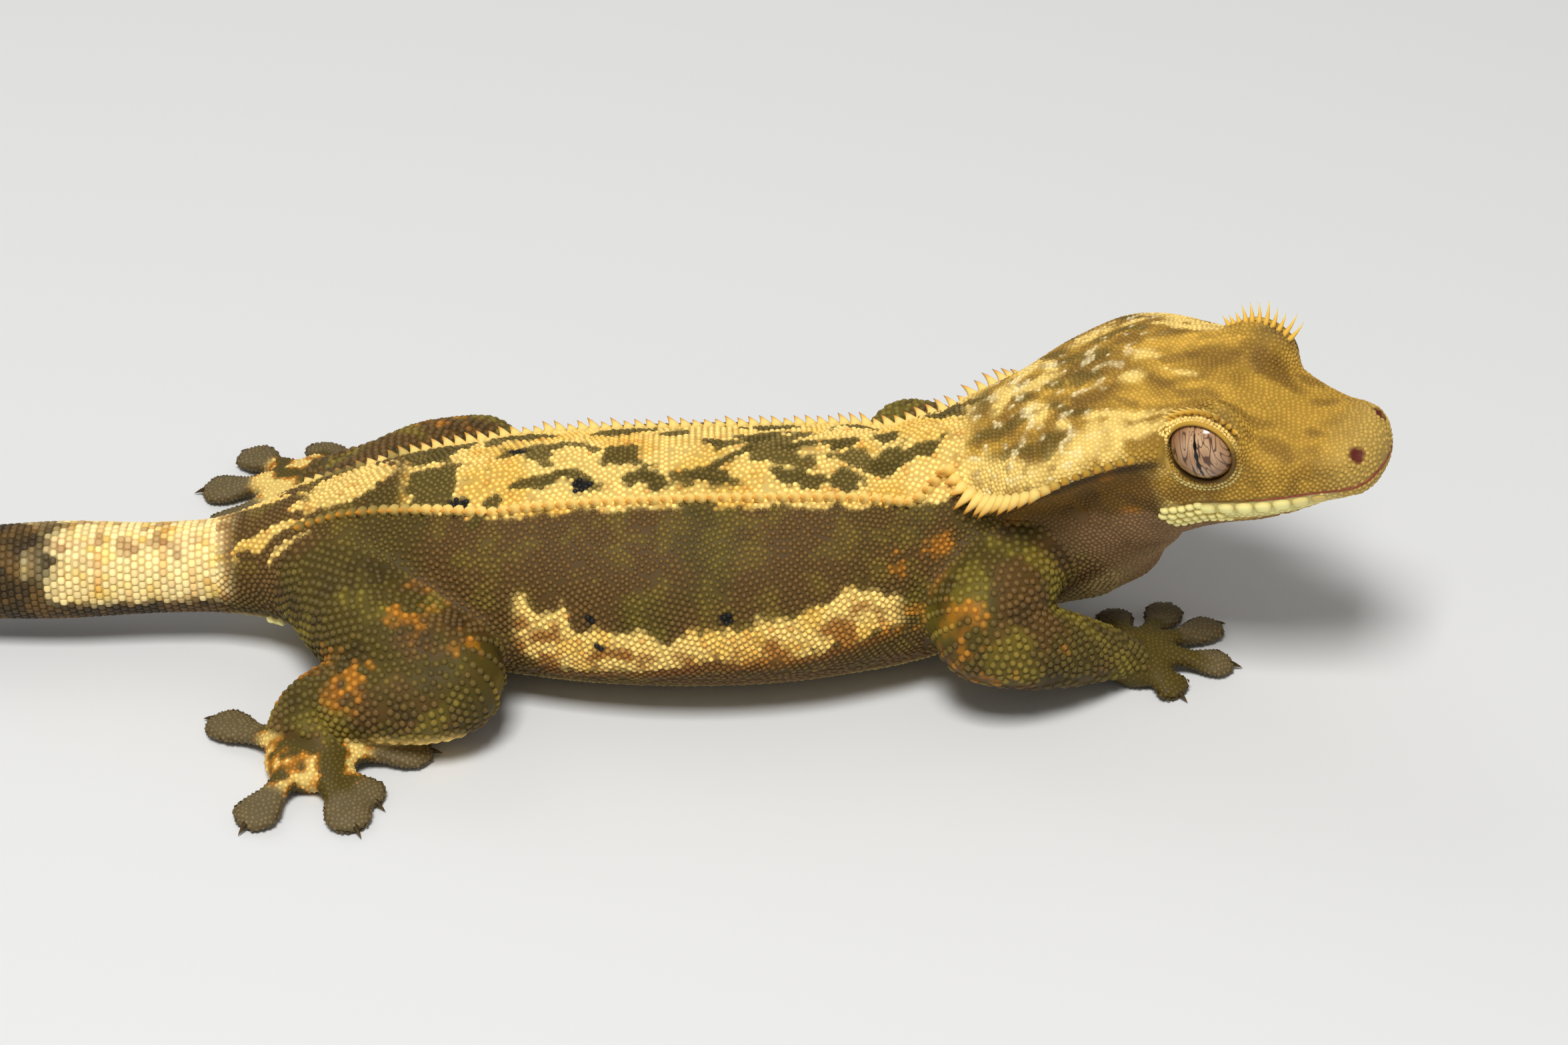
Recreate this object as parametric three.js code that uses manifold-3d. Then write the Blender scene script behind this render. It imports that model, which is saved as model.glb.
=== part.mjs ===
// A crested gecko at life size, lying on its belly on a flat floor with its head raised and turned right.
// Millimetres. +X runs towards the snout, +Y to the animal's left and +Z up; the origin is the middle of
// the belly's flat on the floor. The body is modelled whole from a few rows of widths and depths, and is
// then parted with thin cuts where a person would name its parts.
import * as THREE from "three";
import { ConvexGeometry } from "three/addons/geometries/ConvexGeometry.js";
import Module from "manifold-3d";

const wasm = await Module();
wasm.setup();
const { Manifold, Mesh } = wasm;

// Shared sizes
const cutWidth = 0.3; // the gap left between neighbouring parts
const floorLevel = 0;
const finest = 0.03; // detail smaller than this is left out
const farAway = 100; // the reach of the blocks that cut
const degree = Math.PI / 180;

// Rows of the trunk from the tail's tip to inside the head: centre x, y, z, half width, height above and
// depth below the centre, square to the run of the body, and how peaked the back is (1 is an ellipse)
const trunkRows = [
  [-128, 5.0, 0.9, 0.9, 0.7, 0.9, 1],
  [-125, 4.6, 1.0, 1.9, 0.9, 1.0, 1],
  [-119, 3.8, 1.3, 2.2, 1.3, 1.3, 1],
  [-111, 2.9, 1.9, 1.9, 1.9, 2.0, 1],
  [-98, 1.8, 3.0, 2.7, 2.7, 3.0, 1],
  [-84, 1.0, 4.5, 3.5, 3.5, 3.5, 1],
  [-70, 0.6, 6.2, 4.1, 4.1, 4.1, 1],
  [-57, 0.4, 7.0, 4.7, 4.6, 4.6, 1],
  [-47, 0.4, 7.3, 4.4, 4.3, 4.3, 1],
  [-42, 0.4, 7.6, 4.6, 4.5, 4.6, 1],
  [-35, 0.3, 8.4, 6.6, 6.3, 6.0, 1],
  [-27, 0.0, 9.0, 8.8, 9.0, 7.6, 1.04],
  [-15, -0.8, 9.2, 12.6, 11.5, 9.3, 1.1],
  [0, -1.0, 9.2, 15.0, 12.3, 9.45, 1.14],
  [13, -0.6, 9.2, 13.9, 12.6, 9.4, 1.14],
  [22, 0.3, 9.8, 11.4, 12.2, 9.6, 1.1],
  [28, 1.4, 12.0, 9.8, 11.6, 9.8, 1.05],
  [34, 2.0, 15.2, 8.6, 9.8, 11.3, 1],
  [38.5, 0.9, 17.8, 8.0, 7.0, 9.8, 1],
  [43, -1.2, 20.0, 7.0, 4.5, 7.0, 1],
];

// Where the trunk is cut into its parts, by the x of the run of the body
const trunkCuts = { tailTip: -98, tailMiddle: -70, tailBase: -42, hips: -22, torso: 25 };

// The head's own frame: x runs to the snout from the line between the crest's two rear corners
const headPose = { origin: [36.5, 1.6, 25], yaw: -26.3, pitch: 13.9, roll: 5.6 };

// Rows of the head: x, middle y, half width, level of the widest line, height above it, depth below it,
// how much narrower the cheek is than the widest line, and how boxy the section is (1 is an ellipse)
const headRows = [
  [-10, -3.4, 5.6, -2.4, 2.6, 13.0, 0.0, 1],
  [-7, -2.0, 8.4, -3.2, 4.8, 15.5, 0.06, 1],
  [-3.5, -0.6, 11.8, -2.6, 5.5, 17.2, 0.18, 1],
  [0, 0, 13.5, -1.0, 4.5, 18.6, 0.24, 1],
  [3.5, 0, 12.9, 0.1, 4.1, 17.2, 0.22, 0.98],
  [7.5, 0, 11.2, 0.9, 3.5, 14.3, 0.16, 0.86],
  [11.5, 0, 9.7, 1.0, 2.8, 12.2, 0.08, 0.75],
  [15, 0, 8.7, 0.4, 2.8, 10.6, 0.04, 0.72],
  [18.5, 0, 7.6, -1.2, 2.6, 8.4, 0.0, 0.7],
  [21.5, 0, 6.7, -2.6, 2.3, 6.2, 0.0, 0.72],
  [24.5, 0, 5.6, -3.4, 2.5, 4.4, 0.0, 0.75],
  [26.6, 0, 5.0, -3.7, 2.6, 3.6, 0.0, 0.74],
  [28.0, 0, 4.1, -3.9, 2.3, 3.0, 0.0, 0.74],
  [28.7, 0, 2.9, -4.0, 1.6, 2.2, 0.0, 0.8],
  [29.1, 0, 1.3, -4.0, 0.8, 1.1, 0.0, 0.9],
];

const brow = { x: 14.4, y: 6.6, length: 3.8, width: 2.4, height: 0.7 };
// The eye's ball, the skin that covers it, and the rim round its opening, which a wide flat hollow cuts
const eye = { x: 15.6, y: 6.3, z: 0.8, radius: 3.3, cover: 0.65, sides: 16 };
const eyeRim = { y: 7.85, radius: 3.3, thickness: 0.5 };
const eyeOpening = { y: 10.2, radii: [3.15, 2.3, 3.15] };
const nostril = { x: 27.0, y: 4.0, z: -2.4, radius: 0.62 };
const ear = { x: 3.0, y: 10.2, z: -6.0, radii: [1.0, 1.3, 1.7] };
// The line of the mouth from its front to its corner, as x and z in the head's frame, and the lips' ridges
const mouthLine = [[31, -4.2], [28, -4.3], [24, -4.0], [19, -3.6], [14, -3.4], [11, -4.0]];
const lips = [{ offset: 0.75, radius: 0.5 }, { offset: -1.05, radius: 0.6 }];
const lipReach = { from: 12.5, to: 28.4, count: 9, sides: 5, out: 0.2 };
const jawHinge = { bottom: [9.5, -18], front: [32, -18] };

// Crest spines and lashes: pointed cones of few sides, rooted in the skin
const spineSides = 5;
const backCrest = { y: 6.6, from: -34, to: 27, pitch: 2.3, height: 1.1, radius: 0.6 };
const headCrest = { from: -6.5, to: 4.5, count: 9, height: 1.7, radius: 0.6 };
const lashes = {
  count: 8, around: 3.75, out: 0.8, first: 30, last: 150, splay: 0.83, height: 1.7, radius: 0.36,
};

// Limbs from the body outwards: centre x, y, z, half width, half height, and the places along the rows, as
// row numbers, at which the limb is cut at its joint and at its wrist or ankle
const limbs = {
  arm_right: {
    parts: ["upper_arm_right", "forearm_right"],
    rows: [
      [32, -3, 12.6, 4.8, 5.0], [29.8, -9, 11.6, 4.8, 5.0], [27.8, -12.3, 9.8, 4.7, 4.9],
      [31, -12.6, 8.2, 4.2, 4.3], [35.3, -10.6, 6.0, 3.6, 3.6], [39, -8.4, 4.0, 2.9, 2.7],
      [42, -6.6, 2.4, 2.5, 1.6],
    ],
    joint: 2.45,
    wrist: 5.3,
  },
  arm_left: {
    parts: ["upper_arm_left", "forearm_left"],
    rows: [
      [28, 5, 13, 4.8, 5.0], [24.5, 10.6, 12.8, 4.6, 4.8], [21.8, 13.6, 11.6, 4.5, 4.7],
      [24, 15.2, 8.9, 4.2, 4.2], [27.5, 15.6, 5.9, 3.6, 3.5], [30, 15.4, 3.9, 2.9, 2.7],
      [33, 15, 2.4, 2.5, 1.6],
    ],
    joint: 2.45,
    wrist: 5.3,
  },
  leg_right: {
    parts: ["thigh_right", "shin_right"],
    rows: [
      [-32, -2, 9, 5.4, 5.4], [-29, -8, 8.6, 5.6, 5.6], [-24.2, -13.2, 7.6, 5.6, 5.6],
      [-19.8, -16.0, 6.8, 4.9, 5.0], [-22.2, -17.4, 6.2, 4.7, 4.6], [-27.5, -16.8, 5.4, 4.5, 4.1],
      [-31.8, -17.2, 4.1, 3.8, 3.1], [-33.2, -20.0, 2.5, 3.6, 1.9],
    ],
    joint: 3.3,
    wrist: 6.35,
  },
  leg_left: {
    parts: ["thigh_left", "shin_left"],
    rows: [
      [-32, 2, 9, 5.4, 5.4], [-28.5, 7.5, 9, 5.6, 5.4], [-23.5, 13, 8.8, 5.4, 5.2],
      [-19, 16.6, 7.9, 4.6, 4.6], [-21.8, 18.6, 6.8, 4.3, 4.1], [-27.5, 19.2, 5.0, 4.0, 3.5],
      [-32.6, 20.2, 3.4, 3.4, 2.8], [-36, 21.6, 2.4, 3.0, 1.8],
    ],
    joint: 3.3,
    wrist: 6.35,
  },
};

const limbRings = { sides: 14, perRow: 2.5 };

// Hands and feet: middle of the palm, its half length and width, and each digit's tip, all on the floor
const paws = {
  hand_right: {
    limb: "arm_right",
    width: 0.85,
    palm: [42.6, -6.0],
    size: [3.3, 3.4],
    tips: [[46.4, -10.4], [51.6, -5.8], [50.8, 0.6], [46.4, 3.6], [40.6, 2.6]],
  },
  hand_left: {
    limb: "arm_left",
    width: 0.85,
    palm: [33.4, 15.2],
    size: [3.3, 3.4],
    tips: [[33.4, 22.6], [38.9, 21.9], [42.0, 17.4], [40.8, 11.6], [35.6, 8.6]],
  },
  foot_right: {
    limb: "leg_right",
    width: 1,
    palm: [-32.4, -21.0],
    size: [4.2, 4.0],
    tips: [[-42.2, -14.0], [-37.6, -29.6], [-27.6, -30.0], [-26.0, -26.4], [-21.6, -18.8]],
  },
  foot_left: {
    limb: "leg_left",
    width: 1,
    palm: [-36.6, 22.0],
    size: [4.2, 4.0],
    tips: [[-45.4, 15.2], [-46.9, 22.6], [-43.4, 29.4], [-35.0, 30.6], [-28.6, 25.8]],
  },
};
// A digit along its length: share, half width, half height; a slim shaft and a broad flat pad
const digitRows = [
  [0.1, 2.0, 1.2], [0.36, 1.5, 1.05], [0.55, 1.55, 0.95],
  [0.76, 2.25, 0.85], [0.92, 2.0, 0.72], [1.0, 0.9, 0.45],
];
const digitArch = { height: 0.9, at: 0.3, width: 0.28, sunk: 0.12 };
const digitRings = { count: 7, sides: 8 };
const wristOverlap = 0.35;
const pawCut = { depth: 6, reach: 4.5 };
const palmShape = { level: 1.3, height: 1.9 };
const claw = { length: 1.0, radius: 0.32, level: 0.75, back: 0.35, dip: 0.35 };

// Points, cubics and frames

function along(rows, keys, at) {
  const last = rows.length - 1;
  const t = Math.min(Math.max(at, keys[0]), keys[last]);
  let i = 0;
  while (i < last - 1 && t >= keys[i + 1]) i++;
  const gap = (k) => keys[k + 1] - keys[k];
  const chord = (k, c) => (rows[k + 1][c] - rows[k][c]) / gap(k);
  const slope = (k, c) => {
    if (k === 0) return chord(0, c);
    if (k === last) return chord(last - 1, c);
    return (chord(k - 1, c) * gap(k) + chord(k, c) * gap(k - 1)) / (gap(k) + gap(k - 1));
  };
  const h = gap(i);
  const u = (t - keys[i]) / h;
  return rows[i].map((value, c) =>
    (1 + 2 * u) * (1 - u) ** 2 * value + u * (1 - u) ** 2 * h * slope(i, c)
    + u * u * (3 - 2 * u) * rows[i + 1][c] + u * u * (u - 1) * h * slope(i + 1, c));
}

const up = new THREE.Vector3(0, 0, 1);
const span = (from, to, count) =>
  Array.from({ length: count }, (_, i) => from + ((to - from) * i) / (count - 1));
const ringAngles = (sides) => Array.from({ length: sides }, (_, j) => (2 * Math.PI * j) / sides);
const point = (row) => new THREE.Vector3(row[0], row[1], row[2]);

// The centre line's direction, its left side and its upper side at one place
function frameAt(rows, keys, at) {
  const step = 0.02 * (keys[1] - keys[0]);
  const ahead = point(along(rows, keys, at + step)).sub(point(along(rows, keys, at - step))).normalize();
  const left = up.clone().cross(ahead).normalize();
  return { ahead, left, top: ahead.clone().cross(left) };
}

// A closed solid from rings of equal count, capped flat at both ends
function loft(rings) {
  const sides = rings[0].length;
  const points = rings.flat();
  const middle = (ring) => ring.reduce((sum, p) => sum.add(p), new THREE.Vector3()).divideScalar(sides);
  points.push(middle(rings[0]), middle(rings[rings.length - 1]));
  const faces = [];
  for (let i = 0; i + 1 < rings.length; i++) {
    for (let j = 0; j < sides; j++) {
      const a = i * sides + j;
      const b = i * sides + ((j + 1) % sides);
      faces.push(a, b, a + sides, b, b + sides, a + sides);
    }
  }
  const end = (rings.length - 1) * sides;
  for (let j = 0; j < sides; j++) {
    const k = (j + 1) % sides;
    faces.push(points.length - 2, k, j, points.length - 1, end + j, end + k);
  }
  return solid(points, faces);
}

function solid(points, faces) {
  const vertProperties = new Float32Array(points.flatMap((p) => [p.x, p.y, p.z]));
  const made = new Manifold(new Mesh({ numProp: 3, vertProperties, triVerts: new Uint32Array(faces) }));
  if (made.volume() >= 0) return made;
  const turned = faces.flatMap((_, i) => (i % 3 ? [] : [faces[i], faces[i + 2], faces[i + 1]]));
  return new Manifold(new Mesh({ numProp: 3, vertProperties, triVerts: new Uint32Array(turned) }));
}

function fromGeometry(geometry) {
  const position = geometry.getAttribute("position");
  const seen = new Map();
  const points = [];
  const names = [];
  for (let i = 0; i < position.count; i++) {
    const p = new THREE.Vector3().fromBufferAttribute(position, i);
    const key = p.toArray().map((v) => Math.round(v * 1e4)).join();
    if (!seen.has(key)) {
      seen.set(key, points.length);
      points.push(p);
    }
    names.push(seen.get(key));
  }
  const index = geometry.index ? Array.from(geometry.index.array, (i) => names[i]) : names;
  const faces = [];
  for (let i = 0; i < index.length; i += 3) {
    const [a, b, c] = index.slice(i, i + 3);
    if (a !== b && b !== c && c !== a) faces.push(a, b, c);
  }
  return solid(points, faces);
}

const largest = (made) => made.decompose().sort((a, b) => b.volume() - a.volume())[0];
const joined = (solids) => largest(solids.reduce((sum, one) => sum.add(one)));

// A wide flat slab whose middle lies at a place, square to a direction
function slab(place, direction, reach, thickness = cutWidth) {
  const turn = new THREE.Quaternion().setFromUnitVectors(up, direction.clone().normalize());
  const box = new THREE.BoxGeometry(2 * reach, 2 * reach, thickness).applyQuaternion(turn);
  return fromGeometry(box.translate(place.x, place.y, place.z));
}

// Everything below the floor
const underFloor = fromGeometry(new THREE.BoxGeometry(400, 200, 60).translate(0, 0, floorLevel - 30));

// A pointed cone of a few sides that stands at a root, leaning its own way, sunk well into the skin
function spine(root, direction, height, radius) {
  const sunk = 0.9 * radius + 0.25;
  const cone = new THREE.ConeGeometry(radius * (1 + sunk / height), height + sunk, spineSides);
  cone.translate(0, (height - sunk) / 2, 0);
  const turn = new THREE.Quaternion().setFromUnitVectors(up, direction.clone().normalize());
  return fromGeometry(cone.rotateX(90 * degree).applyQuaternion(turn).translate(root.x, root.y, root.z));
}

// The trunk: body and tail

const trunkKeys = trunkRows.map((row) => row[0]);

function trunkPoint(x, angle, grow = 0) {
  const row = along(trunkRows, trunkKeys, x);
  const { left, top } = frameAt(trunkRows, trunkKeys, x);
  const over = Math.sin(angle) > 0;
  const peak = over ? row[6] : 1;
  const bend = (value) => Math.sign(value) * Math.abs(value) ** peak;
  return point(row)
    .addScaledVector(left, (row[3] + grow) * bend(Math.cos(angle)))
    .addScaledVector(top, ((over ? row[4] : row[5]) + grow) * bend(Math.sin(angle)));
}

const trunkSides = 22;
const trunkStations = [
  ...span(-128, -122, 4), ...span(-119, -45, 16), ...span(-42, 43, 27),
];

function trunkSolid(grow = 0) {
  return loft(trunkStations.map((x) => ringAngles(trunkSides).map((angle) => trunkPoint(x, angle, grow))));
}

// The angle round the body at which the back's crest stands, on the left or right side
function crestAngle(x, side) {
  const row = along(trunkRows, trunkKeys, x);
  const inward = 1 - 0.45 * Math.min(1, Math.max(0, (-16 - x) / 14));
  const lean = Math.acos(Math.min(0.93, (backCrest.y * inward) / row[3]));
  return side > 0 ? lean : Math.PI - lean;
}

function backSpines(from, to) {
  const made = [];
  const count = Math.round((to - from) / backCrest.pitch);
  for (const side of [1, -1]) {
    span(from, to, count).forEach((x, i) => {
      const angle = crestAngle(x, side);
      const root = trunkPoint(x, angle);
      const out = trunkPoint(x, angle, 1).sub(root).add(new THREE.Vector3(-0.25, 0.25 * side, 0.35));
      const size = 0.85 + 0.3 * Math.abs(Math.sin(2.4 * i + side));
      made.push(spine(root, out, backCrest.height * size, backCrest.radius * Math.sqrt(size)));
    });
  }
  return made;
}

// The head

const headKeys = headRows.map((row) => row[0]);
const headTurn = new THREE.Matrix4()
  .makeTranslation(...headPose.origin)
  .multiply(new THREE.Matrix4().makeRotationZ(headPose.yaw * degree))
  .multiply(new THREE.Matrix4().makeRotationY(-headPose.pitch * degree))
  .multiply(new THREE.Matrix4().makeRotationX(headPose.roll * degree));
const fromHead = (x, y, z) => new THREE.Vector3(x, y, z).applyMatrix4(headTurn);

const bump = (d, width) => Math.exp(-((d / width) ** 2));

function headPoint(x, angle, grow = 0) {
  const [, middle, width, level, above, below, cheek, box] = along(headRows, headKeys, x);
  const c = Math.sign(Math.cos(angle)) * Math.abs(Math.cos(angle)) ** box;
  const s = Math.sign(Math.sin(angle)) * Math.abs(Math.sin(angle)) ** box;
  const under = Math.min(1, Math.max(0, -s / 0.22));
  const y = (width + grow) * c * (1 - 1.15 * cheek * under);
  let z = level + ((s > 0 ? above : below) + grow) * s;
  const ridge = bump(x - brow.x, brow.length) * bump(Math.abs(y) - brow.y, brow.width);
  z += s > -0.1 ? brow.height * ridge : 0;
  return new THREE.Vector3(x, y + middle, z);
}

const headSides = 28;
const headStations = [...span(-10, 26, 21), ...span(26.8, 29.1, 4)];

function headSolid(grow = 0) {
  return loft(headStations.map((x) =>
    ringAngles(headSides).map((angle) => headPoint(x, angle, grow).applyMatrix4(headTurn))));
}

function ellipsoid(place, radii, widthSegments = 16, heightSegments = 10) {
  const ball = new THREE.SphereGeometry(1, widthSegments, heightSegments).scale(...radii);
  return fromGeometry(ball.translate(place[0], place[1], place[2]).applyMatrix4(headTurn));
}

function eyeSolid(side, grow = 0) {
  const r = eye.radius + grow;
  return ellipsoid([eye.x, side * eye.y, eye.z], [r, r, r], eye.sides, eye.sides / 2);
}

function rimSolid(side) {
  const ring = new THREE.TorusGeometry(eyeRim.radius, eyeRim.thickness, 5, eye.sides);
  ring.rotateX(90 * degree).translate(eye.x, side * eyeRim.y, eye.z);
  return fromGeometry(ring.applyMatrix4(headTurn));
}

// Where the head's side reaches a height, found by halving the angle between its lowest and highest places
function sidePoint(x, z, side) {
  let low = -Math.PI / 2;
  let high = Math.PI / 2;
  for (let i = 0; i < 30; i++) {
    const middle = (low + high) / 2;
    if (headPoint(x, middle).z < z) low = middle;
    else high = middle;
  }
  const place = headPoint(x, low, lipReach.out);
  return new THREE.Vector3(place.x, side * Math.abs(place.y), z);
}

const mouthHeight = (x) => {
  const i = mouthLine.findIndex(([next]) => next <= x);
  const [[x0, z0], [x1, z1]] = [mouthLine[i - 1], mouthLine[i]];
  return z0 + ((z1 - z0) * (x - x0)) / (x1 - x0);
};

// A lip: a rounded ridge that runs from one corner of the mouth round the muzzle to the other
function lipSolid({ offset, radius }) {
  const xs = span(lipReach.from, lipReach.to, lipReach.count);
  const way = (side) => xs.map((x) => sidePoint(x, mouthHeight(x) + offset, side));
  const path = [...way(1), ...way(-1).reverse()];
  return loft(path.map((place, i) => {
    const [before, after] = [path[Math.max(i - 1, 0)], path[Math.min(i + 1, path.length - 1)]];
    const ahead = after.clone().sub(before).setZ(0).normalize();
    const out = new THREE.Vector3(-ahead.y, ahead.x, 0);
    return ringAngles(lipReach.sides).map((angle) => {
      const turned = place.clone().addScaledVector(out, radius * Math.cos(angle));
      return turned.setZ(place.z + radius * Math.sin(angle)).applyMatrix4(headTurn);
    });
  }));
}

function headSpines() {
  const made = [];
  for (const side of [1, -1]) {
    const edge = side > 0 ? 0 : Math.PI;
    span(headCrest.from, headCrest.to, headCrest.count).forEach((x, i) => {
      const root = headPoint(x, edge).applyMatrix4(headTurn);
      const out = new THREE.Vector3(-0.45 - 0.3 * bump(x + 8, 5), side, -0.15).transformDirection(headTurn);
      const size = 0.75 + 0.35 * bump(x + 2, 4) + 0.12 * Math.sin(2.1 * i);
      made.push(spine(root, out, headCrest.height * size, headCrest.radius));
    });
    span(lashes.first, lashes.last, lashes.count).forEach((turn, i) => {
      const ahead = Math.cos(turn * degree);
      const rise = Math.sin(turn * degree);
      const root = fromHead(
        eye.x + lashes.around * ahead, side * (eye.y + lashes.out), eye.z + lashes.around * rise);
      const out = new THREE.Vector3(ahead, lashes.splay * side, rise).transformDirection(headTurn);
      const size = 0.8 + 0.25 * Math.sin(1.7 * i + 1);
      made.push(spine(root, out, lashes.height * size, lashes.radius));
    });
  }
  return made;
}

// The lower jaw's share of the head: all that lies under the line of the mouth and before the jaw's hinge
function jawRegion(grow) {
  const outline = new THREE.Shape();
  mouthLine.forEach(([x, z], i) => (i ? outline.lineTo(x, z + grow) : outline.moveTo(x, z + grow)));
  const [cornerX, cornerZ] = mouthLine[mouthLine.length - 1];
  outline.lineTo(cornerX - grow, cornerZ);
  outline.lineTo(jawHinge.bottom[0] - grow, jawHinge.bottom[1]);
  outline.lineTo(...jawHinge.front);
  const block = new THREE.ExtrudeGeometry(outline, { depth: 40, bevelEnabled: false });
  return fromGeometry(block.translate(0, 0, -20).rotateX(90 * degree).applyMatrix4(headTurn));
}

// Limbs, hands and feet

// A limb bends more sharply than it is thick, so the convex solids between its rings are joined
function limbSolid(rows, from, to) {
  const keys = rows.map((_, i) => i);
  const stations = span(from, to, Math.round((to - from) * limbRings.perRow) + 2);
  const rings = stations.map((at) => {
    const row = along(rows, keys, at);
    const { left, top } = frameAt(rows, keys, at);
    return ringAngles(limbRings.sides).map((angle) =>
      point(row)
        .addScaledVector(left, row[3] * Math.cos(angle))
        .addScaledVector(top, row[4] * Math.sin(angle)));
  });
  return joined(rings.slice(1).map((ring, i) => fromGeometry(new ConvexGeometry([...rings[i], ...ring]))));
}

function digitSolid(from, tip, broad) {
  const run = new THREE.Vector3(tip[0] - from[0], tip[1] - from[1], 0);
  const length = run.length();
  run.normalize();
  const side = new THREE.Vector3(-run.y, run.x, 0);
  const keys = digitRows.map((row) => row[0]);
  const pad = loft(span(keys[0], 1, digitRings.count).map((share) => {
    const [, width, height] = along(digitRows, keys, share);
    const lift = height - digitArch.sunk + digitArch.height * bump(share - digitArch.at, digitArch.width);
    return ringAngles(digitRings.sides).map((angle) =>
      new THREE.Vector3(from[0], from[1], lift + height * Math.sin(angle))
        .addScaledVector(run, share * length)
        .addScaledVector(side, broad * width * Math.cos(angle)));
  }));
  const root = new THREE.Vector3(tip[0], tip[1], claw.level).addScaledVector(run, -claw.back);
  const nail = spine(root, run.clone().setZ(-claw.dip), claw.length, claw.radius);
  return pad.add(nail);
}

function pawSolid({ palm, size, width, tips, limb }) {
  const rows = limbs[limb].rows;
  const dome = new THREE.SphereGeometry(1, 12, 8).scale(size[0], size[1], palmShape.height);
  const pieces = [fromGeometry(dome.translate(palm[0], palm[1], palmShape.level))];
  pieces.push(limbSolid(rows, limbs[limb].wrist - wristOverlap, rows.length - 1));
  tips.forEach((tip) => pieces.push(digitSolid(palm, tip, width)));
  return joined(pieces);
}

// Cutting the whole into parts

const trunk = trunkSolid();
const bodyGrown = trunkSolid(cutWidth).add(headSolid(cutWidth));
const cutPlane = (x) => {
  const { ahead } = frameAt(trunkRows, trunkKeys, x);
  return { place: point(along(trunkRows, trunkKeys, x)), ahead };
};
const neckPlane = {
  place: fromHead(-6.5, -2.2, -6),
  ahead: new THREE.Vector3(0.96, -0.2, 0.18).normalize(),
};

// The block of a given depth whose near face stands half a gap beyond a plane, before or behind it
function blockAt({ place, ahead }, way, depth, reach) {
  const middle = place.clone().addScaledVector(ahead, way * (depth / 2 - cutWidth / 2));
  return slab(middle, ahead, reach, depth);
}

// The share of a solid between two cuts, half a gap clear of each
function between(whole, back, front) {
  let kept = whole;
  if (back) kept = kept.subtract(blockAt(back, -1, 2 * farAway, farAway));
  if (front) kept = kept.subtract(blockAt(front, 1, 2 * farAway, farAway));
  return largest(kept);
}

const materials = {};
function finish(name, color, roughness, metalness = 0) {
  materials[name] = new THREE.MeshStandardMaterial({ color, roughness, metalness });
}
finish("cream", "#e3cf95", 0.6);
finish("gold", "#b08f4a", 0.55);
finish("olive", "#5b4f30", 0.65);
finish("umber", "#54473a", 0.65);
finish("iris", "#7a5048", 0.15);

const group = new THREE.Group();
function add(name, made, material) {
  const mesh = largest(made.simplify(finest)).getMesh();
  const count = mesh.numVert;
  const flat = new Float32Array(count * 3);
  for (let i = 0; i < count; i++) {
    flat.set(mesh.vertProperties.subarray(i * mesh.numProp, i * mesh.numProp + 3), i * 3);
  }
  const geometry = new THREE.BufferGeometry();
  geometry.setAttribute("position", new THREE.BufferAttribute(flat, 3));
  geometry.setIndex(new THREE.BufferAttribute(new Uint32Array(mesh.triVerts), 1));
  geometry.computeVertexNormals();
  const shown = new THREE.Mesh(geometry, materials[material]);
  shown.name = name;
  group.add(shown);
  return made;
}
const standing = (made) => largest(made.subtract(underFloor));

// Head, jaw and eyes
const sockets = [eyeSolid(1, cutWidth), eyeSolid(-1, cutWidth)];
const pits = [1, -1].flatMap((side) => [
  ellipsoid([nostril.x, side * nostril.y, nostril.z], Array(3).fill(nostril.radius), 8, 6),
  ellipsoid([ear.x, side * ear.y, ear.z], ear.radii, 12, 8),
]);
const openingSolid = (side) =>
  ellipsoid([eye.x, side * eyeOpening.y, eye.z], eyeOpening.radii, eye.sides, eye.sides / 2);
const covered = joined([headSolid(), eyeSolid(1, eye.cover), eyeSolid(-1, eye.cover)]);
const opened = covered.subtract(openingSolid(1)).subtract(openingSolid(-1));
const skull = joined([opened, rimSolid(1), rimSolid(-1), ...lips.map(lipSolid)]);
const hollowed = (made) => sockets.concat(pits).reduce((left, cut) => left.subtract(cut), made);
const headWhole = hollowed(joined([skull, ...headSpines()])).subtract(jawRegion(cutWidth));
add("head", between(headWhole, neckPlane, null), "gold");
add("lower_jaw", largest(hollowed(skull).intersect(jawRegion(0))), "gold");
add("eye_left", eyeSolid(1), "iris");
add("eye_right", eyeSolid(-1), "iris");

// Body and tail
const neckWhole = joined([trunk, headSolid()]);
const spined = (whole, from, to) => joined([whole, ...backSpines(from, to)]);
const cuts = Object.fromEntries(Object.entries(trunkCuts).map(([name, x]) => [name, cutPlane(x)]));
const torso = spined(trunk, trunkCuts.hips, trunkCuts.torso);
const hips = spined(trunk, backCrest.from, trunkCuts.hips);
const neck = spined(neckWhole, trunkCuts.torso, 30);
add("neck", standing(between(neck, cuts.torso, neckPlane)), "gold");
add("torso", standing(between(torso, cuts.hips, cuts.torso)), "cream");
add("hips", standing(between(hips, cuts.tailBase, cuts.hips)), "olive");
add("tail_base", standing(between(trunk, cuts.tailMiddle, cuts.tailBase)), "cream");
add("tail_middle", standing(between(trunk, cuts.tailTip, cuts.tailMiddle)), "umber");
add("tail_tip", standing(between(trunk, null, cuts.tailTip)), "umber");

// Limbs
for (const { parts, rows, joint, wrist } of Object.values(limbs)) {
  const keys = rows.map((_, i) => i);
  const plane = (at) => ({ place: point(along(rows, keys, at)), ahead: frameAt(rows, keys, at).ahead });
  const [near, far] = parts;
  const upper = limbSolid(rows, 0, joint).subtract(bodyGrown);
  const lower = limbSolid(rows, joint, wrist).subtract(bodyGrown);
  add(near, standing(between(upper, null, plane(joint))), "olive");
  add(far, standing(between(lower, plane(joint), plane(wrist))), "olive");
}

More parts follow.
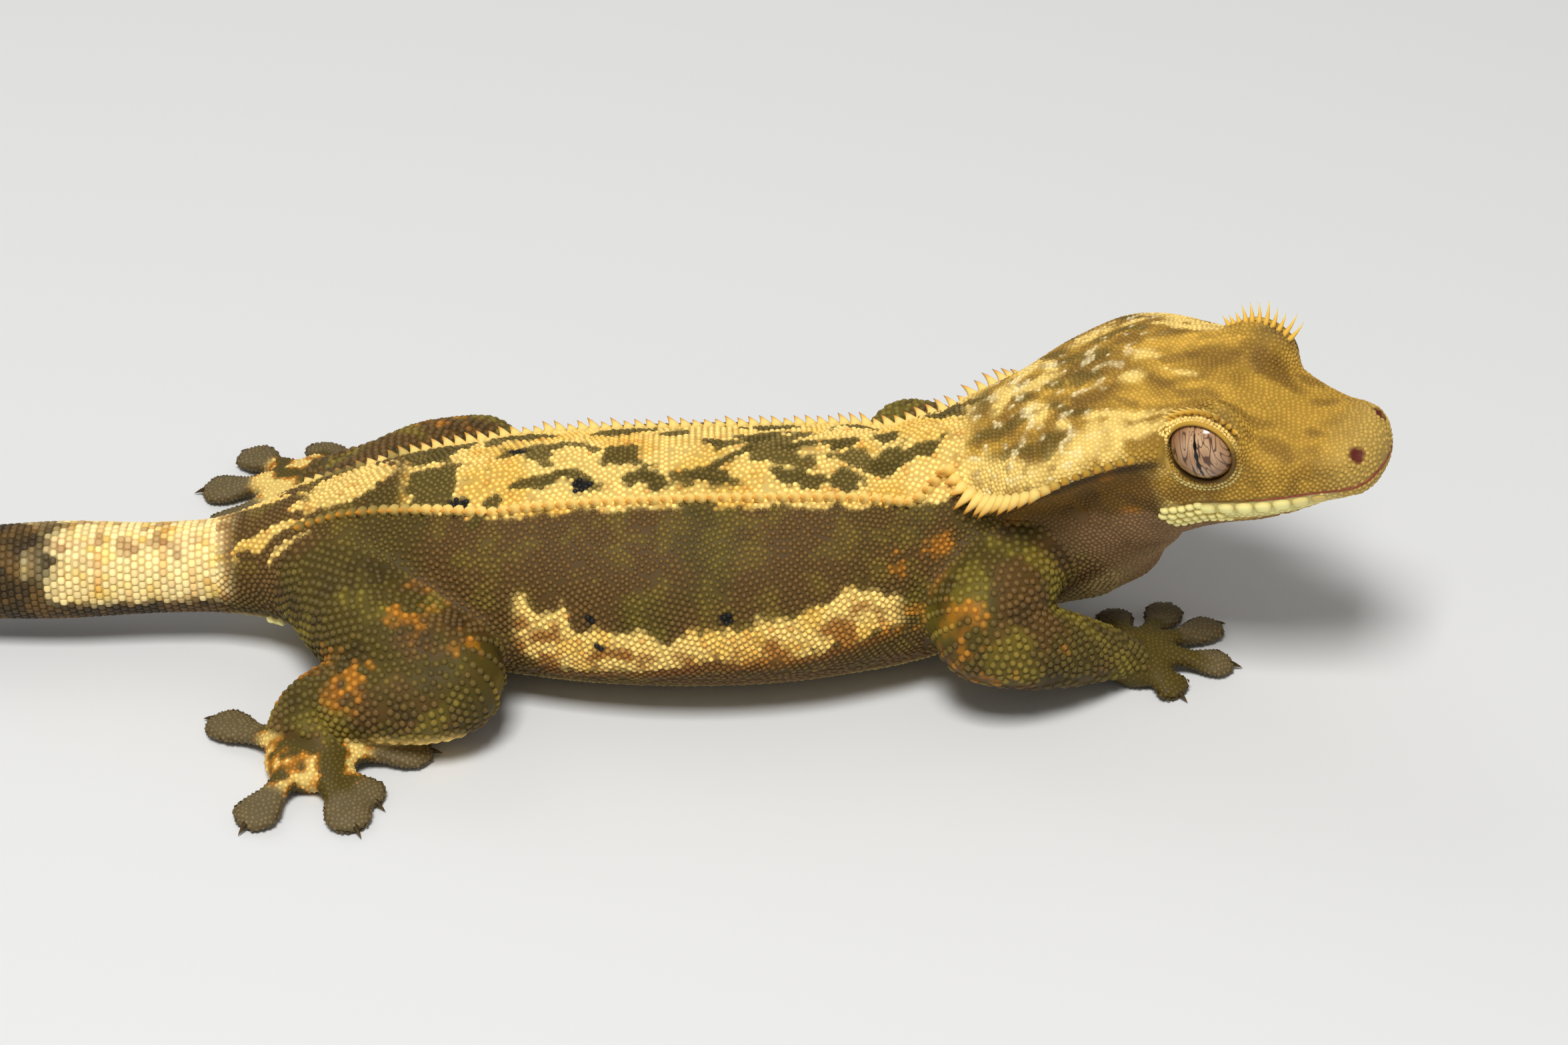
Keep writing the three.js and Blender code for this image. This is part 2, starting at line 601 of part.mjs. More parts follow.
for (const [name, paw] of Object.entries(paws)) {
  const { rows, wrist } = limbs[paw.limb];
  const keys = rows.map((_, i) => i);
  const plane = { place: point(along(rows, keys, wrist)), ahead: frameAt(rows, keys, wrist).ahead };
  const behind = blockAt(plane, -1, pawCut.depth, pawCut.reach);
  add(name, standing(pawSolid(paw).subtract(behind).subtract(bodyGrown)), "olive");
}

export default group;
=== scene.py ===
import math
import bpy
import numpy as np
import openvdb as vdb
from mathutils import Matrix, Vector
from mathutils.kdtree import KDTree


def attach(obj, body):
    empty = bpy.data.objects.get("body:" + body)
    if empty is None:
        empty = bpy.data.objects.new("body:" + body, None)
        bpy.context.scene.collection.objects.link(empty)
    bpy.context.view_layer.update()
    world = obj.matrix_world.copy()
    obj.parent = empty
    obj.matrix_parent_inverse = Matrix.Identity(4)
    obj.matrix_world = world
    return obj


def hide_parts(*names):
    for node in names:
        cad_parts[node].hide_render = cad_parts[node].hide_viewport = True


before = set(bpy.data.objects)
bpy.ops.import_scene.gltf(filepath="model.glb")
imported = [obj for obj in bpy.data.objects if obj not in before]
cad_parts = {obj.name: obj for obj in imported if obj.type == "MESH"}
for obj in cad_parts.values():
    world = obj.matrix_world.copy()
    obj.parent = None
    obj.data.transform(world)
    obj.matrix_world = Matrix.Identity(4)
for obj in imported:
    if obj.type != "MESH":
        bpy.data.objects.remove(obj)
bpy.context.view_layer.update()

# Everything below is worked out in millimetres and put into meshes in metres
millimetre = 0.001
rng = np.random.default_rng(7)


# Cubic curve through knots: each value eases with the slope that its two neighbouring chords share
def along(keys, rows, at):
    keys, rows, at = np.asarray(keys, float), np.asarray(rows, float), np.asarray(at, float)
    gap = np.diff(keys)
    chord = np.diff(rows, axis=0) / gap[:, None]
    inner = (chord[:-1] * gap[1:, None] + chord[1:] * gap[:-1, None]) / (gap[:-1] + gap[1:])[:, None]
    slope = np.concatenate([chord[:1], inner, chord[-1:]])
    t = np.clip(at, keys[0], keys[-1])
    i = np.clip(np.searchsorted(keys, t, side="right") - 1, 0, len(gap) - 1)
    h = gap[i][..., None]
    u = ((t - keys[i])[..., None]) / h
    return ((1 + 2 * u) * (1 - u) ** 2 * rows[i] + u * (1 - u) ** 2 * h * slope[i]
            + u * u * (3 - 2 * u) * rows[i + 1] + u * u * (u - 1) * h * slope[i + 1])


# v divided by its own length
def unit(v):
    return v / np.maximum(np.linalg.norm(v, axis=-1, keepdims=True), 1e-9)


# Bell curve: e to the minus square of d over the width
def bell(d, width):
    return np.exp(-(d / width) ** 2)


# Smooth step from 0 at low to 1 at high: t * t * (3 - 2t)
def ramp(v, low, high):
    t = np.clip((v - low) / (high - low), 0, 1)
    return t * t * (3 - 2 * t)


# Smooth random field: corner values of a unit lattice eased across each cell
def noise(p, size, seed=0):
    q = np.asarray(p, float) / size + seed * 17.31
    cell = np.floor(q).astype(np.int64)
    f = q - cell
    f = f * f * (3 - 2 * f)
    total = np.zeros(len(q))
    for dx in (0, 1):
        for dy in (0, 1):
            for dz in (0, 1):
                c = cell + (dx, dy, dz)
                key = (c[:, 0] * 73856093) ^ (c[:, 1] * 19349663) ^ (c[:, 2] * 83492791) ^ (seed * 2654435)
                value = ((key * 1103515245 + 12345) & 0x7FFFFFFF) / 0x7FFFFFFF
                weight = (np.where(dx, f[:, 0], 1 - f[:, 0]) * np.where(dy, f[:, 1], 1 - f[:, 1])
                          * np.where(dz, f[:, 2], 1 - f[:, 2]))
                total += weight * value
    return total * 2 - 1


# Sum of noises, each at half the size of the last and 0.55 of its strength
def layered(p, size, seed=0, octaves=3):
    return sum(noise(p, size / 2 ** k, seed + k) * 0.55 ** k for k in range(octaves))


# Body and tail: rows of x, y, z, half width, height above and depth below the middle, square to the run
body = dict(
    coat=0.22,
    rows=[  # the last is how peaked the back is, where 1 is an ellipse
        [-128, 5, 0.9, 0.9, 0.7, 0.9, 1], [-125, 4.6, 1, 1.9, 0.9, 1, 1],
        [-119, 3.8, 1.3, 2.2, 1.3, 1.3, 1], [-111, 2.9, 1.9, 1.9, 1.9, 2, 1],
        [-98, 1.8, 3, 2.7, 2.7, 3, 1], [-84, 1, 4.5, 3.5, 3.5, 3.5, 1], [-70, 0.6, 6.2, 4.1, 4.1, 4.1, 1],
        [-57, 0.4, 7, 4.7, 4.6, 4.6, 1], [-47, 0.4, 7.3, 4.4, 4.3, 4.3, 1],
        [-42, 0.4, 7.6, 4.6, 4.5, 4.6, 1], [-35, 0.3, 8.4, 6.6, 6.3, 6, 1], [-27, 0, 9, 8.8, 9, 7.6, 1.04],
        [-15, -0.8, 9.2, 12.6, 11.5, 9.3, 1.1], [0, -1, 9.2, 15, 12.3, 9.45, 1.14],
        [13, -0.6, 9.2, 13.9, 12.6, 9.4, 1.14], [22, 0.3, 9.8, 11.4, 12.2, 9.6, 1.1],
        [28, 1.4, 12, 9.8, 11.6, 9.8, 1.05], [34, 2, 15.2, 8.6, 9.8, 11.3, 1],
        [38.5, 0.9, 17.8, 8, 7, 9.8, 1], [43, -1.2, 20, 7, 4.5, 7, 1],
    ],
)
bodyKeys = [row[0] for row in body["rows"]]


# A tube: centre + side * w cos v + top * (up or down) sin v, with side = up x run and top = run x side,
# where the upper half's cosine and sine are raised to a power that makes the back peaked
def tubePoint(keys, rows, at, v, grow=0.0, peaked=False):
    row = along(keys, rows, at)
    step = 0.02 * (keys[1] - keys[0])
    run = unit(along(keys, rows, at + step)[..., :3] - along(keys, rows, at - step)[..., :3])
    side = unit(np.cross(np.broadcast_to([0.0, 0, 1], run.shape), run))
    top = np.cross(run, side)
    over = np.sin(v) > 0
    power = np.where(over, row[..., 6], 1) if peaked else 1
    c = np.sign(np.cos(v)) * np.abs(np.cos(v)) ** power
    s = np.sign(np.sin(v)) * np.abs(np.sin(v)) ** power
    wide = (row[..., 3] + grow) * c
    tall = (np.where(over, row[..., 4], row[..., 5]) + grow) * s
    return row[..., :3] + side * wide[..., None] + top * tall[..., None]


# The body's tube, through its own rows
def bodyPoint(at, v, grow=0.0):
    return tubePoint(bodyKeys, body["rows"], at, v, grow, peaked=True)


# Head, in a frame of its own: x runs to the snout from the line between the crest's two rear corners
head = dict(
    origin=(36.5, 1.6, 25.0), yaw=-26.3, pitch=13.9, roll=5.6, coat=0.15,
    rows=[  # x, middle y, half width, level of it, height above, depth below, cheek's narrowing, boxiness
        [-10, -3.4, 5.6, -2.4, 2.6, 13.0, 0.0, 1], [-7, -2.0, 8.4, -3.2, 4.8, 15.5, 0.06, 1],
        [-3.5, -0.6, 11.8, -2.6, 5.5, 17.2, 0.18, 1], [0, 0, 13.5, -1.0, 4.5, 18.6, 0.24, 1],
        [3.5, 0, 12.9, 0.1, 4.1, 17.2, 0.22, 0.98], [7.5, 0, 11.2, 0.9, 3.5, 14.3, 0.16, 0.86],
        [11.5, 0, 9.7, 1.0, 2.8, 12.2, 0.08, 0.75], [15, 0, 8.7, 0.4, 2.8, 10.6, 0.04, 0.72],
        [18.5, 0, 7.6, -1.2, 2.6, 8.4, 0.0, 0.7], [21.5, 0, 6.7, -2.6, 2.3, 6.2, 0.0, 0.72],
        [24.5, 0, 5.6, -3.4, 2.5, 4.4, 0.0, 0.75], [26.6, 0, 5.0, -3.7, 2.6, 3.6, 0.0, 0.74],
        [28.0, 0, 4.1, -3.9, 2.3, 3.0, 0.0, 0.74], [28.7, 0, 2.9, -4.0, 1.6, 2.2, 0.0, 0.8],
        [29.1, 0, 1.3, -4.0, 0.8, 1.1, 0.0, 0.9], [29.25, 0, 0.2, -4.0, 0.2, 0.2, 0.0, 1],
    ],
    brow=dict(x=14.4, y=6.6, length=3.8, width=2.4, height=0.7),
    mouth=[[11, -5.5], [14, -4.85], [19, -5.0], [24, -5.1], [28, -5.1], [31, -4.8]],
    nostril=dict(x=28.1, y=3.2, z=-2.3, radius=0.62),
    ear=dict(x=3.0, y=10.2, z=-6.0, radii=(1.0, 1.3, 1.7)),
)
eye = dict(
    x=15.6, y=6.3, z=0.8, radius=3.3, cover=0.4, gap=0.1, soft=1.0, gaze=(0.1, 1, 0.12), tilt=2,
    slit=(2.2, 0.15), well=dict(y=7.3, radius=3.08), rim=dict(y=8.1, radius=3.16, thick=0.2),
)
headKeys = [row[0] for row in head["rows"]]


# Turn about z, then y, then x, as one matrix
def turning(yaw, pitch, roll):
    y, p, r = np.radians([yaw, pitch, roll])
    turnZ = np.array([[np.cos(y), -np.sin(y), 0], [np.sin(y), np.cos(y), 0], [0, 0, 1]])
    turnY = np.array([[np.cos(p), 0, -np.sin(p)], [0, 1, 0], [np.sin(p), 0, np.cos(p)]])
    turnX = np.array([[1, 0, 0], [0, np.cos(r), -np.sin(r)], [0, np.sin(r), np.cos(r)]])
    return turnZ @ turnY @ turnX


headTurn = turning(head["yaw"], head["pitch"], head["roll"])


# Into the part's frame: the turn of p, plus the head's origin
def fromHead(p):
    return np.asarray(p, float) @ headTurn.T + head["origin"]


# Into the head's frame: p less the origin, turned back
def toHead(p):
    return (np.asarray(p, float) - head["origin"]) @ headTurn


# Head section: y = w cos v, narrowed under the crest, and z = level + height * sin v, both made boxy by a
# power, with a bell of height over each brow
def headPoint(at, v, grow=0.0):
    row = along(headKeys, head["rows"], at)
    middle, wide, level, above, below, cheek, box = [row[..., k] for k in range(1, 8)]
    c = np.sign(np.cos(v)) * np.abs(np.cos(v)) ** box
    s = np.sign(np.sin(v)) * np.abs(np.sin(v)) ** box
    y = (wide + grow) * c * (1 - 1.15 * cheek * np.clip(-s / 0.22, 0, 1))
    z = level + (np.where(s > 0, above, below) + grow) * s
    b = head["brow"]
    bulge = b["height"] * bell(at - b["x"], b["length"]) * bell(np.abs(y) - b["y"], b["width"])
    z = z + np.where(s > -0.1, bulge, 0)
    return fromHead(np.stack([np.broadcast_to(at, y.shape), y + middle, z], -1))


# Limbs: rows of x, y, z, half width and half height from the body to the wrist or ankle
limbs = dict(
    armRight=[[32, -3, 12.6, 4.8, 5.0], [29.8, -9, 11.6, 4.8, 5.0], [27.8, -12.3, 9.8, 4.7, 4.9],
              [31, -12.6, 8.2, 4.2, 4.3], [35.3, -10.6, 6.0, 3.6, 3.6], [39, -8.4, 4.0, 2.9, 2.7],
              [42, -6.6, 2.4, 2.5, 1.6]],
    armLeft=[[28, 5, 13, 4.8, 5.0], [24.5, 10.6, 12.8, 4.6, 4.8], [21.8, 13.6, 11.6, 4.5, 4.7],
             [24, 15.2, 8.9, 4.2, 4.2], [27.5, 15.6, 5.9, 3.6, 3.5], [30, 15.4, 3.9, 2.9, 2.7],
             [33, 15, 2.4, 2.5, 1.6]],
    legRight=[[-32, -2, 9, 5.4, 5.4], [-29, -8, 8.6, 5.6, 5.6], [-24.2, -13.2, 7.6, 5.6, 5.6],
              [-19.8, -16.0, 6.8, 4.9, 5.0], [-22.2, -17.4, 6.2, 4.7, 4.6], [-27.5, -16.8, 5.4, 4.5, 4.1],
              [-31.8, -17.2, 4.1, 3.8, 3.1], [-33.2, -20.0, 2.5, 3.6, 1.9]],
    legLeft=[[-32, 2, 9, 5.4, 5.4], [-28.5, 7.5, 9, 5.6, 5.4], [-23.5, 13, 8.8, 5.4, 5.2],
             [-19, 16.6, 7.9, 4.6, 4.6], [-21.8, 18.6, 6.8, 4.3, 4.1], [-27.5, 19.2, 5.0, 4.0, 3.5],
             [-32.6, 20.2, 3.4, 3.4, 2.8], [-36, 21.6, 2.4, 3.0, 1.8]],
)
# Hands and feet: middle and size of the palm, and each digit's tip on the floor
paws = dict(
    handRight=dict(width=0.85, palm=(42.6, -6.0), size=(3.3, 3.4),
                   tips=[(46.4, -10.4), (51.6, -5.8), (50.8, 0.6), (46.4, 3.6), (40.6, 2.6)]),
    handLeft=dict(width=0.85, palm=(33.4, 15.2), size=(3.3, 3.4),
                  tips=[(33.4, 22.6), (38.9, 21.9), (42.0, 17.4), (40.8, 11.6), (35.6, 8.6)]),
    footRight=dict(width=1, palm=(-32.4, -21.0), size=(4.2, 4.0),
                   tips=[(-42.2, -14.0), (-37.6, -29.6), (-27.6, -30.0), (-26.0, -26.4), (-21.6, -18.8)]),
    footLeft=dict(width=1, palm=(-36.6, 22.0), size=(4.2, 4.0),
                  tips=[(-45.4, 15.2), (-46.9, 22.6), (-43.4, 29.4), (-35.0, 30.6), (-28.6, 25.8)]),
)
# A digit along its length: share, half width, half height: a slim shaft and a broad flat pad
digit = dict(
    rows=[[0.1, 1.8, 1.2], [0.36, 1.25, 1.0], [0.55, 1.3, 0.9],
          [0.76, 2.2, 0.82], [0.92, 2.0, 0.7], [1.0, 0.9, 0.45]],
    lift=0.9, liftAt=0.3, liftWidth=0.28,
)


# A limb's tube, as tubePoint, with as much depth as height
def limbPoint(name):
    rows = [row + [row[4]] for row in limbs[name]]
    return lambda at, v, grow=0.0: tubePoint(list(range(len(rows))), rows, at, v, grow)


# Digit: a tube on the floor from the palm to the tip, w cos v across and h sin v up, arched at its shaft
def digitPoint(palm, tip, broad):
    start, end = np.array([*palm, 0.0]), np.array([*tip, 0.0])
    run = unit(end - start)
    across = np.array([-run[1], run[0], 0.0])
    rows = np.array(digit["rows"])

    def point(at, v, grow=0.0):
        w, h = np.moveaxis(along(rows[:, 0], rows[:, 1:], at), -1, 0)
        lift = h + digit["lift"] * bell(at - digit["liftAt"], digit["liftWidth"])
        p = start + (end - start) * at[..., None] + across * ((broad * w + grow) * np.cos(v))[..., None]
        p[..., 2] += lift + (h + grow) * np.sin(v)
        return p
    return point


# Level sets: each form's distance field on one shared grid, joined with soft seams
field = dict(voxel=0.46, band=6, low=(-130, -34, -1.5), high=(68, 34, 37))
fieldShape = tuple(int(round((h - l) / field["voxel"])) + 1 for l, h in zip(field["low"], field["high"]))
fieldStart = tuple(int(round(l / field["voxel"])) for l in field["low"])


# Rings of a form at its stations, closed at both ends by a ring that is drawn in to its own middle
def gridOf(point, stations, around, grow=0.0):
    u, v = np.meshgrid(stations, np.linspace(0, 2 * np.pi, around, endpoint=False), indexing="ij")
    p = point(u, v, grow)
    ends = np.stack([np.broadcast_to(p[0].mean(0), p[0].shape), np.broadcast_to(p[-1].mean(0), p[0].shape)])
    return np.concatenate([ends[:1], p, ends[1:]])


# Four-sided faces between each ring and the next, going once round
def gridFaces(rings, around):
    a = np.arange(rings * around).reshape(rings, around)
    b = np.roll(a, -1, axis=1)
    return np.stack([a[:-1], b[:-1], b[1:], a[1:]], -1).reshape(-1, 4)


# Distance to a closed form, negative inside, on the shared grid
def levelSet(rings):
    points = rings.reshape(-1, 3).astype(np.float32)
    quads = gridFaces(rings.shape[0], rings.shape[1]).astype(np.uint32)
    grid = vdb.FloatGrid.createLevelSetFromPolygons(
        points, quads=quads, transform=vdb.createLinearTransform(field["voxel"]), halfWidth=field["band"])
    out = np.zeros(fieldShape, np.float32)
    grid.copyToArray(out, ijk=fieldStart)
    return out


# Soft union: the lesser of two distances, rounded off where they are within k of each other
def softUnion(a, b, k):
    h = np.clip(0.5 + 0.5 * (b - a) / k, 0, 1)
    return b + (a - b) * h - k * h * (1 - h)


# A field's value at any place, weighed from the eight corners round it
def sample(values, p):
    q = (p - np.array(fieldStart) * field["voxel"]) / field["voxel"]
    q = np.clip(q, 0.001, np.array(fieldShape) - 1.001)
    i = np.floor(q).astype(int)
    f = q - i
    total = 0
    for dx in (0, 1):
        for dy in (0, 1):
            for dz in (0, 1):
                w = (np.where(dx, f[:, 0], 1 - f[:, 0]) * np.where(dy, f[:, 1], 1 - f[:, 1])
                     * np.where(dz, f[:, 2], 1 - f[:, 2]))
                total = total + w * values[i[:, 0] + dx, i[:, 1] + dy, i[:, 2] + dz]
    return total


# A field's slope at any place: the differences along each axis, made one long
def slopeOf(values, p, step=0.45):
    axes = np.eye(3) * step
    return unit(np.stack([sample(values, p + a) - sample(values, p - a) for a in axes], -1))


# Moves places onto a field's surface: p less slope * distance, some times over
def ontoSkin(p, times=3, values=None):
    values = skinField if values is None else values
    for _ in range(times):
        p = p - slopeOf(values, p) * sample(values, p)[:, None]
    return p


# The skin lies under each form's rows by the coat that the scales stand up through
bodyStations = np.concatenate([np.linspace(-128, -45, 120), np.linspace(-44.3, 43, 130)])
headStations = np.concatenate([np.linspace(-10, 26, 90), np.linspace(26.3, 29.25, 16)])
limbCoat, toeCoat = 0.2, 0.1
forms = {}
forms["body"] = levelSet(gridOf(bodyPoint, bodyStations, 120, -body["coat"]))
forms["head"] = levelSet(gridOf(headPoint, headStations, 160, -head["coat"]))
for name in limbs:
    ends = len(limbs[name]) - 1
    forms[name] = levelSet(gridOf(limbPoint(name), np.linspace(0, ends, 60), 48, -limbCoat))


palm = dict(level=1.3, height=1.9)
seams = dict(neck=3.0, limb=2.2, paw=1.0, toe=0.7, opening=0.35)  # how far from a join each seam is rounded
lowest = np.array(fieldStart) * field["voxel"]
gridLines = [lowest[k] + np.arange(fieldShape[k]) * field["voxel"] for k in range(3)]


# A palm: the distance to an ellipsoid that lies on the floor
def palmField(paw):
    x, y, z = np.meshgrid(*gridLines, indexing="ij", sparse=True)
    px, py = paw["palm"]
    sx, sy = paw["size"]
    r = np.sqrt(((x - px) / sx) ** 2 + ((y - py) / sy) ** 2 + ((z - palm["level"]) / palm["height"]) ** 2)
    return ((r - 1) * palm["height"]).astype(np.float32)


digits = {}
for name, paw in paws.items():
    joined = palmField(paw)
    for tip in paw["tips"]:
        one = digitPoint(paw["palm"], tip, paw["width"])
        digits[name, tip] = one
        toe = levelSet(gridOf(one, np.linspace(0.1, 1, 26), 28, -toeCoat))
        joined = softUnion(joined, toe, seams["toe"])
    forms[name] = joined
print("forms", sorted(forms))

skinField = softUnion(forms["body"], forms["head"], seams["neck"])
for name in limbs:
    skinField = softUnion(skinField, forms[name], seams["limb"])
for name in paws:
    skinField = softUnion(skinField, forms[name], seams["paw"])

# The head's finer forms, as distances in its own frame: the throat's fold and the skin over the eyes are
# added, and the sockets, nostrils and ears are hollowed out. The underside is cut flat at the floor
throat = dict(place=(1.8, 0, -15.6), radii=(2.6, 2.6, 3.4), soft=1.6)
headReach = dict(x=28, z=5)  # the head's finer forms lie past these
floorGap = 0.02
cells = np.stack(np.meshgrid(*gridLines, indexing="ij"), -1).astype(np.float32)
near = (cells[..., 0] > headReach["x"]) & (cells[..., 2] > headReach["z"])
local = toHead(cells[near])


# Distance to an ellipsoid: its own scaled radius less 1, times its least radius
def ellipsoidField(p, place, radii):
    return (np.linalg.norm((p - place) / np.array(radii), axis=1) - 1) * min(radii)


added = ellipsoidField(local, throat["place"], throat["radii"])
raised = softUnion(skinField[near], added, throat["soft"])
hollow = np.full(len(local), np.inf)
for side in (1, -1):
    n, e, w = head["nostril"], head["ear"], eye["well"]
    centre = np.array([eye["x"], side * eye["y"], eye["z"]])
    ball = np.linalg.norm(local - centre, axis=1) - eye["radius"]
    raised = softUnion(raised, ball - eye["cover"], eye["soft"])
    well = np.maximum(np.hypot(local[:, 0] - eye["x"], local[:, 2] - eye["z"]) - w["radius"],
                      w["y"] - side * local[:, 1])
    pit = ellipsoidField(local, (n["x"], side * n["y"], n["z"]), [n["radius"]] * 3)
    cup = ellipsoidField(local, (e["x"], side * e["y"], e["z"]), e["radii"])
    hollow = np.minimum.reduce([hollow, well, ball + eye["gap"], pit, cup])
wholeField = skinField.copy()
wholeField[near] = raised
skinField[near] = -softUnion(-raised, hollow, seams["opening"])
wholeField, skinField = [np.maximum(values, floorGap - cells[..., 2]) for values in (wholeField, skinField)]
print("skin field", fieldShape)


# A mesh from whole arrays, in metres, with its colours and its unwrap on the points
def makeMesh(name, points, faces, colour=None, uv=None):
    mesh = bpy.data.meshes.new(name)
    points = np.asarray(points, np.float64).reshape(-1, 3) * millimetre
    corners = faces.shape[1]
    mesh.vertices.add(len(points))
    mesh.vertices.foreach_set("co", points.ravel())
    mesh.loops.add(faces.size)
    mesh.loops.foreach_set("vertex_index", faces.ravel().astype(np.int32))
    mesh.polygons.add(len(faces))
    mesh.polygons.foreach_set("loop_start", np.arange(0, faces.size, corners, dtype=np.int32))
    mesh.update(calc_edges=True)
    mesh.polygons.foreach_set("use_smooth", np.ones(len(faces), bool))
    if colour is not None:
        layer = mesh.color_attributes.new("marking", "FLOAT_COLOR", "POINT")
        layer.data.foreach_set("color", np.concatenate([colour, np.ones((len(colour), 1))], 1).ravel())
    if uv is not None:
        layer = mesh.uv_layers.new(name="OFBake")
        layer.data.foreach_set("uv", uv[faces.ravel()].ravel())
    mesh.validate()
    piece = bpy.data.objects.new(name, mesh)
    bpy.context.scene.collection.objects.link(piece)
    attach(piece, "root")
    return piece


# A hex colour as linear light: v / 12.92, or ((v + 0.055) / 1.055) to the power 2.4
def tone(code):
    v = np.array([int(code[i:i + 2], 16) for i in (0, 2, 4)]) / 255
    return np.where(v <= 0.04045, v / 12.92, ((v + 0.055) / 1.055) ** 2.4)


# a + (b - a) * t, with t held between 0 and 1
def mix(a, b, t):
    return a + (b - a) * np.clip(t, 0, 1)[:, None]


# One tone for each point
def plain(name, points):
    return np.tile(tones[name], (len(points), 1))


tones = {name: tone(code) for name, code in dict(  # the animal's colours in daylight
    cream="f6d478", straw="e8b848", orange="cf8419", rust="93560e", umber="64491c", olive="594a13",
    moss="877722", bark="3a2b0e", ochre="a07a29", gold="bb9234", brown="7c5a1c", lip="f6ec9c", snout="cba954",
    throat="8a6a44", black="120e09", pad="70613e", belly="b09a60", red="93402f", shine="fbe8ae",
    iris="b0865e", irisDark="86593a", irisPale="dfba92", vein="3c221b", eyeEdge="2a1713", pupil="040303",
    pole="050403",
).items()}

# The crest on the back: how far from the middle, first and last x, and the spines' pitch and size
crest = dict(y=6.6, start=-34, end=23.5, pitch=1.05, height=1.12, radius=0.6, bend=0.35)


# The crest's place round the trunk, in degrees above the widest line: the angle whose cosine is its distance
# from the middle over the half width
def crestAngle(x):
    row = along(bodyKeys, body["rows"], x)
    inward = 1 - 0.45 * np.clip((-16 - x) / 14, 0, 1)
    return np.degrees(np.arccos(np.minimum(0.93, crest["y"] * inward / row[..., 3])))


# Patches on the back as seen from above: x, y, half length, half width, turn in degrees
backPatches = dict(
    olive=[(-21.8, -3.0, 2.6, 2.6, 10), (-22.5, 2.5, 2.2, 2.4, 0), (-16.8, -6.6, 1.6, 0.55, 25),
           (-12.6, -4.6, 2.6, 0.5, 18),
           (-8.6, -4.4, 1.8, 0.5, -20), (-5.2, -1.2, 1.9, 1.0, 10), (-2.1, -4.8, 2.4, 1.0, -12),
           (3.2, -4.4, 1.7, 1.0, 0), (5.2, -2.2, 2.4, 0.5, 35), (7.9, 0.5, 1.5, 0.6, 20),
           (3.6, 0.8, 0.9, 0.6, 0),
           (2.3, -7.4, 1.2, 1.1, 0), (10.6, -4.2, 1.3, 1.1, 0), (12.4, -4.9, 1.3, 0.8, 0),
           (15.4, -4.7, 1.2, 1.1, 0),
           (14.8, 0, 1.9, 0.8, 0), (11.4, -0.5, 1.5, 0.5, 0), (19.4, -2.4, 2.8, 1.1, 65),
           (19.2, 1.2, 1.2, 0.8, 0),
           (22.4, -1.5, 2.2, 0.7, 20), (-14, 3.4, 3.0, 0.8, -10), (-4, 3.6, 2.4, 0.9, 15),
           (9, 4.2, 2.0, 0.8, 0),
           (17, 4.0, 1.8, 0.7, -20), (24.5, 3, 1.6, 0.8, 0)],
    black=[(-19.3, -5.9, 0.75, 0.7, 0), (-13.7, 0, 0.85, 0.5, 0), (-8.5, -5.3, 1.05, 0.6, 0),
           (-30.5, -1.0, 0.7, 0.6, 0),
           (-43, -2.2, 0.75, 0.7, 0), (-46.5, 1.5, 0.5, 0.5, 0), (-49, -3.4, 0.45, 0.4, 0),
           (4, 5.2, 0.6, 0.5, 0)],
    cream=[(-30, 0.4, 4.0, 2.3, 8), (-37.4, -2.6, 3.0, 0.62, 5), (-35.4, -4.6, 2.0, 0.4, 10),
           (-38.5, 2.6, 2.6, 0.8, -8),
           (-34.5, 4.4, 1.6, 0.7, 0)],
)
# The stripe on the flank: its upper and lower edge as x and angle, and spots as x, angle and radius
stripe = dict(
    top=[[-15, 20], [-13.3, 21], [-12.6, 14], [-9.7, 20], [-8.8, 7], [-6.7, 9], [-4, 11], [-1.3, 5],
         [2, 11],
         [5.1, 11], [7.9, 14], [12.7, 15], [16, 24], [18, 22], [20.4, 14], [22, 4]],
    low=[[-15, 0], [-13.2, -10], [-9.9, -23], [-5.8, -18], [-0.8, -12], [3.6, -6], [9.3, -9], [14.4, -3],
         [17.7, -1], [22, 2]],
    spots=[(-7.3, 14, 0.5), (4.8, 16, 0.65), (-6.6, 1, 0.55), (12.5, -2, 0.4)],
    rust=[(23.8, 30, 1.6), (20.4, 28, 1.2), (22.1, 2, 1.6), (19.4, 0, 1.2), (24.5, 12, 1.4)],
)


# 1 inside an ellipse, fading over its edge, where the edge wanders by a noise
def patch(p, x, y, long, wide, turn, wander, soft=0.2):
    a = math.radians(turn)
    u, v = p[:, 0] - x, p[:, 1] - y
    d = np.hypot((u * math.cos(a) + v * math.sin(a)) / long, (v * math.cos(a) - u * math.sin(a)) / wide)
    return ramp(1.1 - d + 0.38 * wander, -0.5 * soft, 0.5 * soft)


# Straight lines between pairs of place and value
def interpolate(keys, at):
    keys = np.array(keys)
    return np.interp(at, keys[:, 0], keys[:, 1])


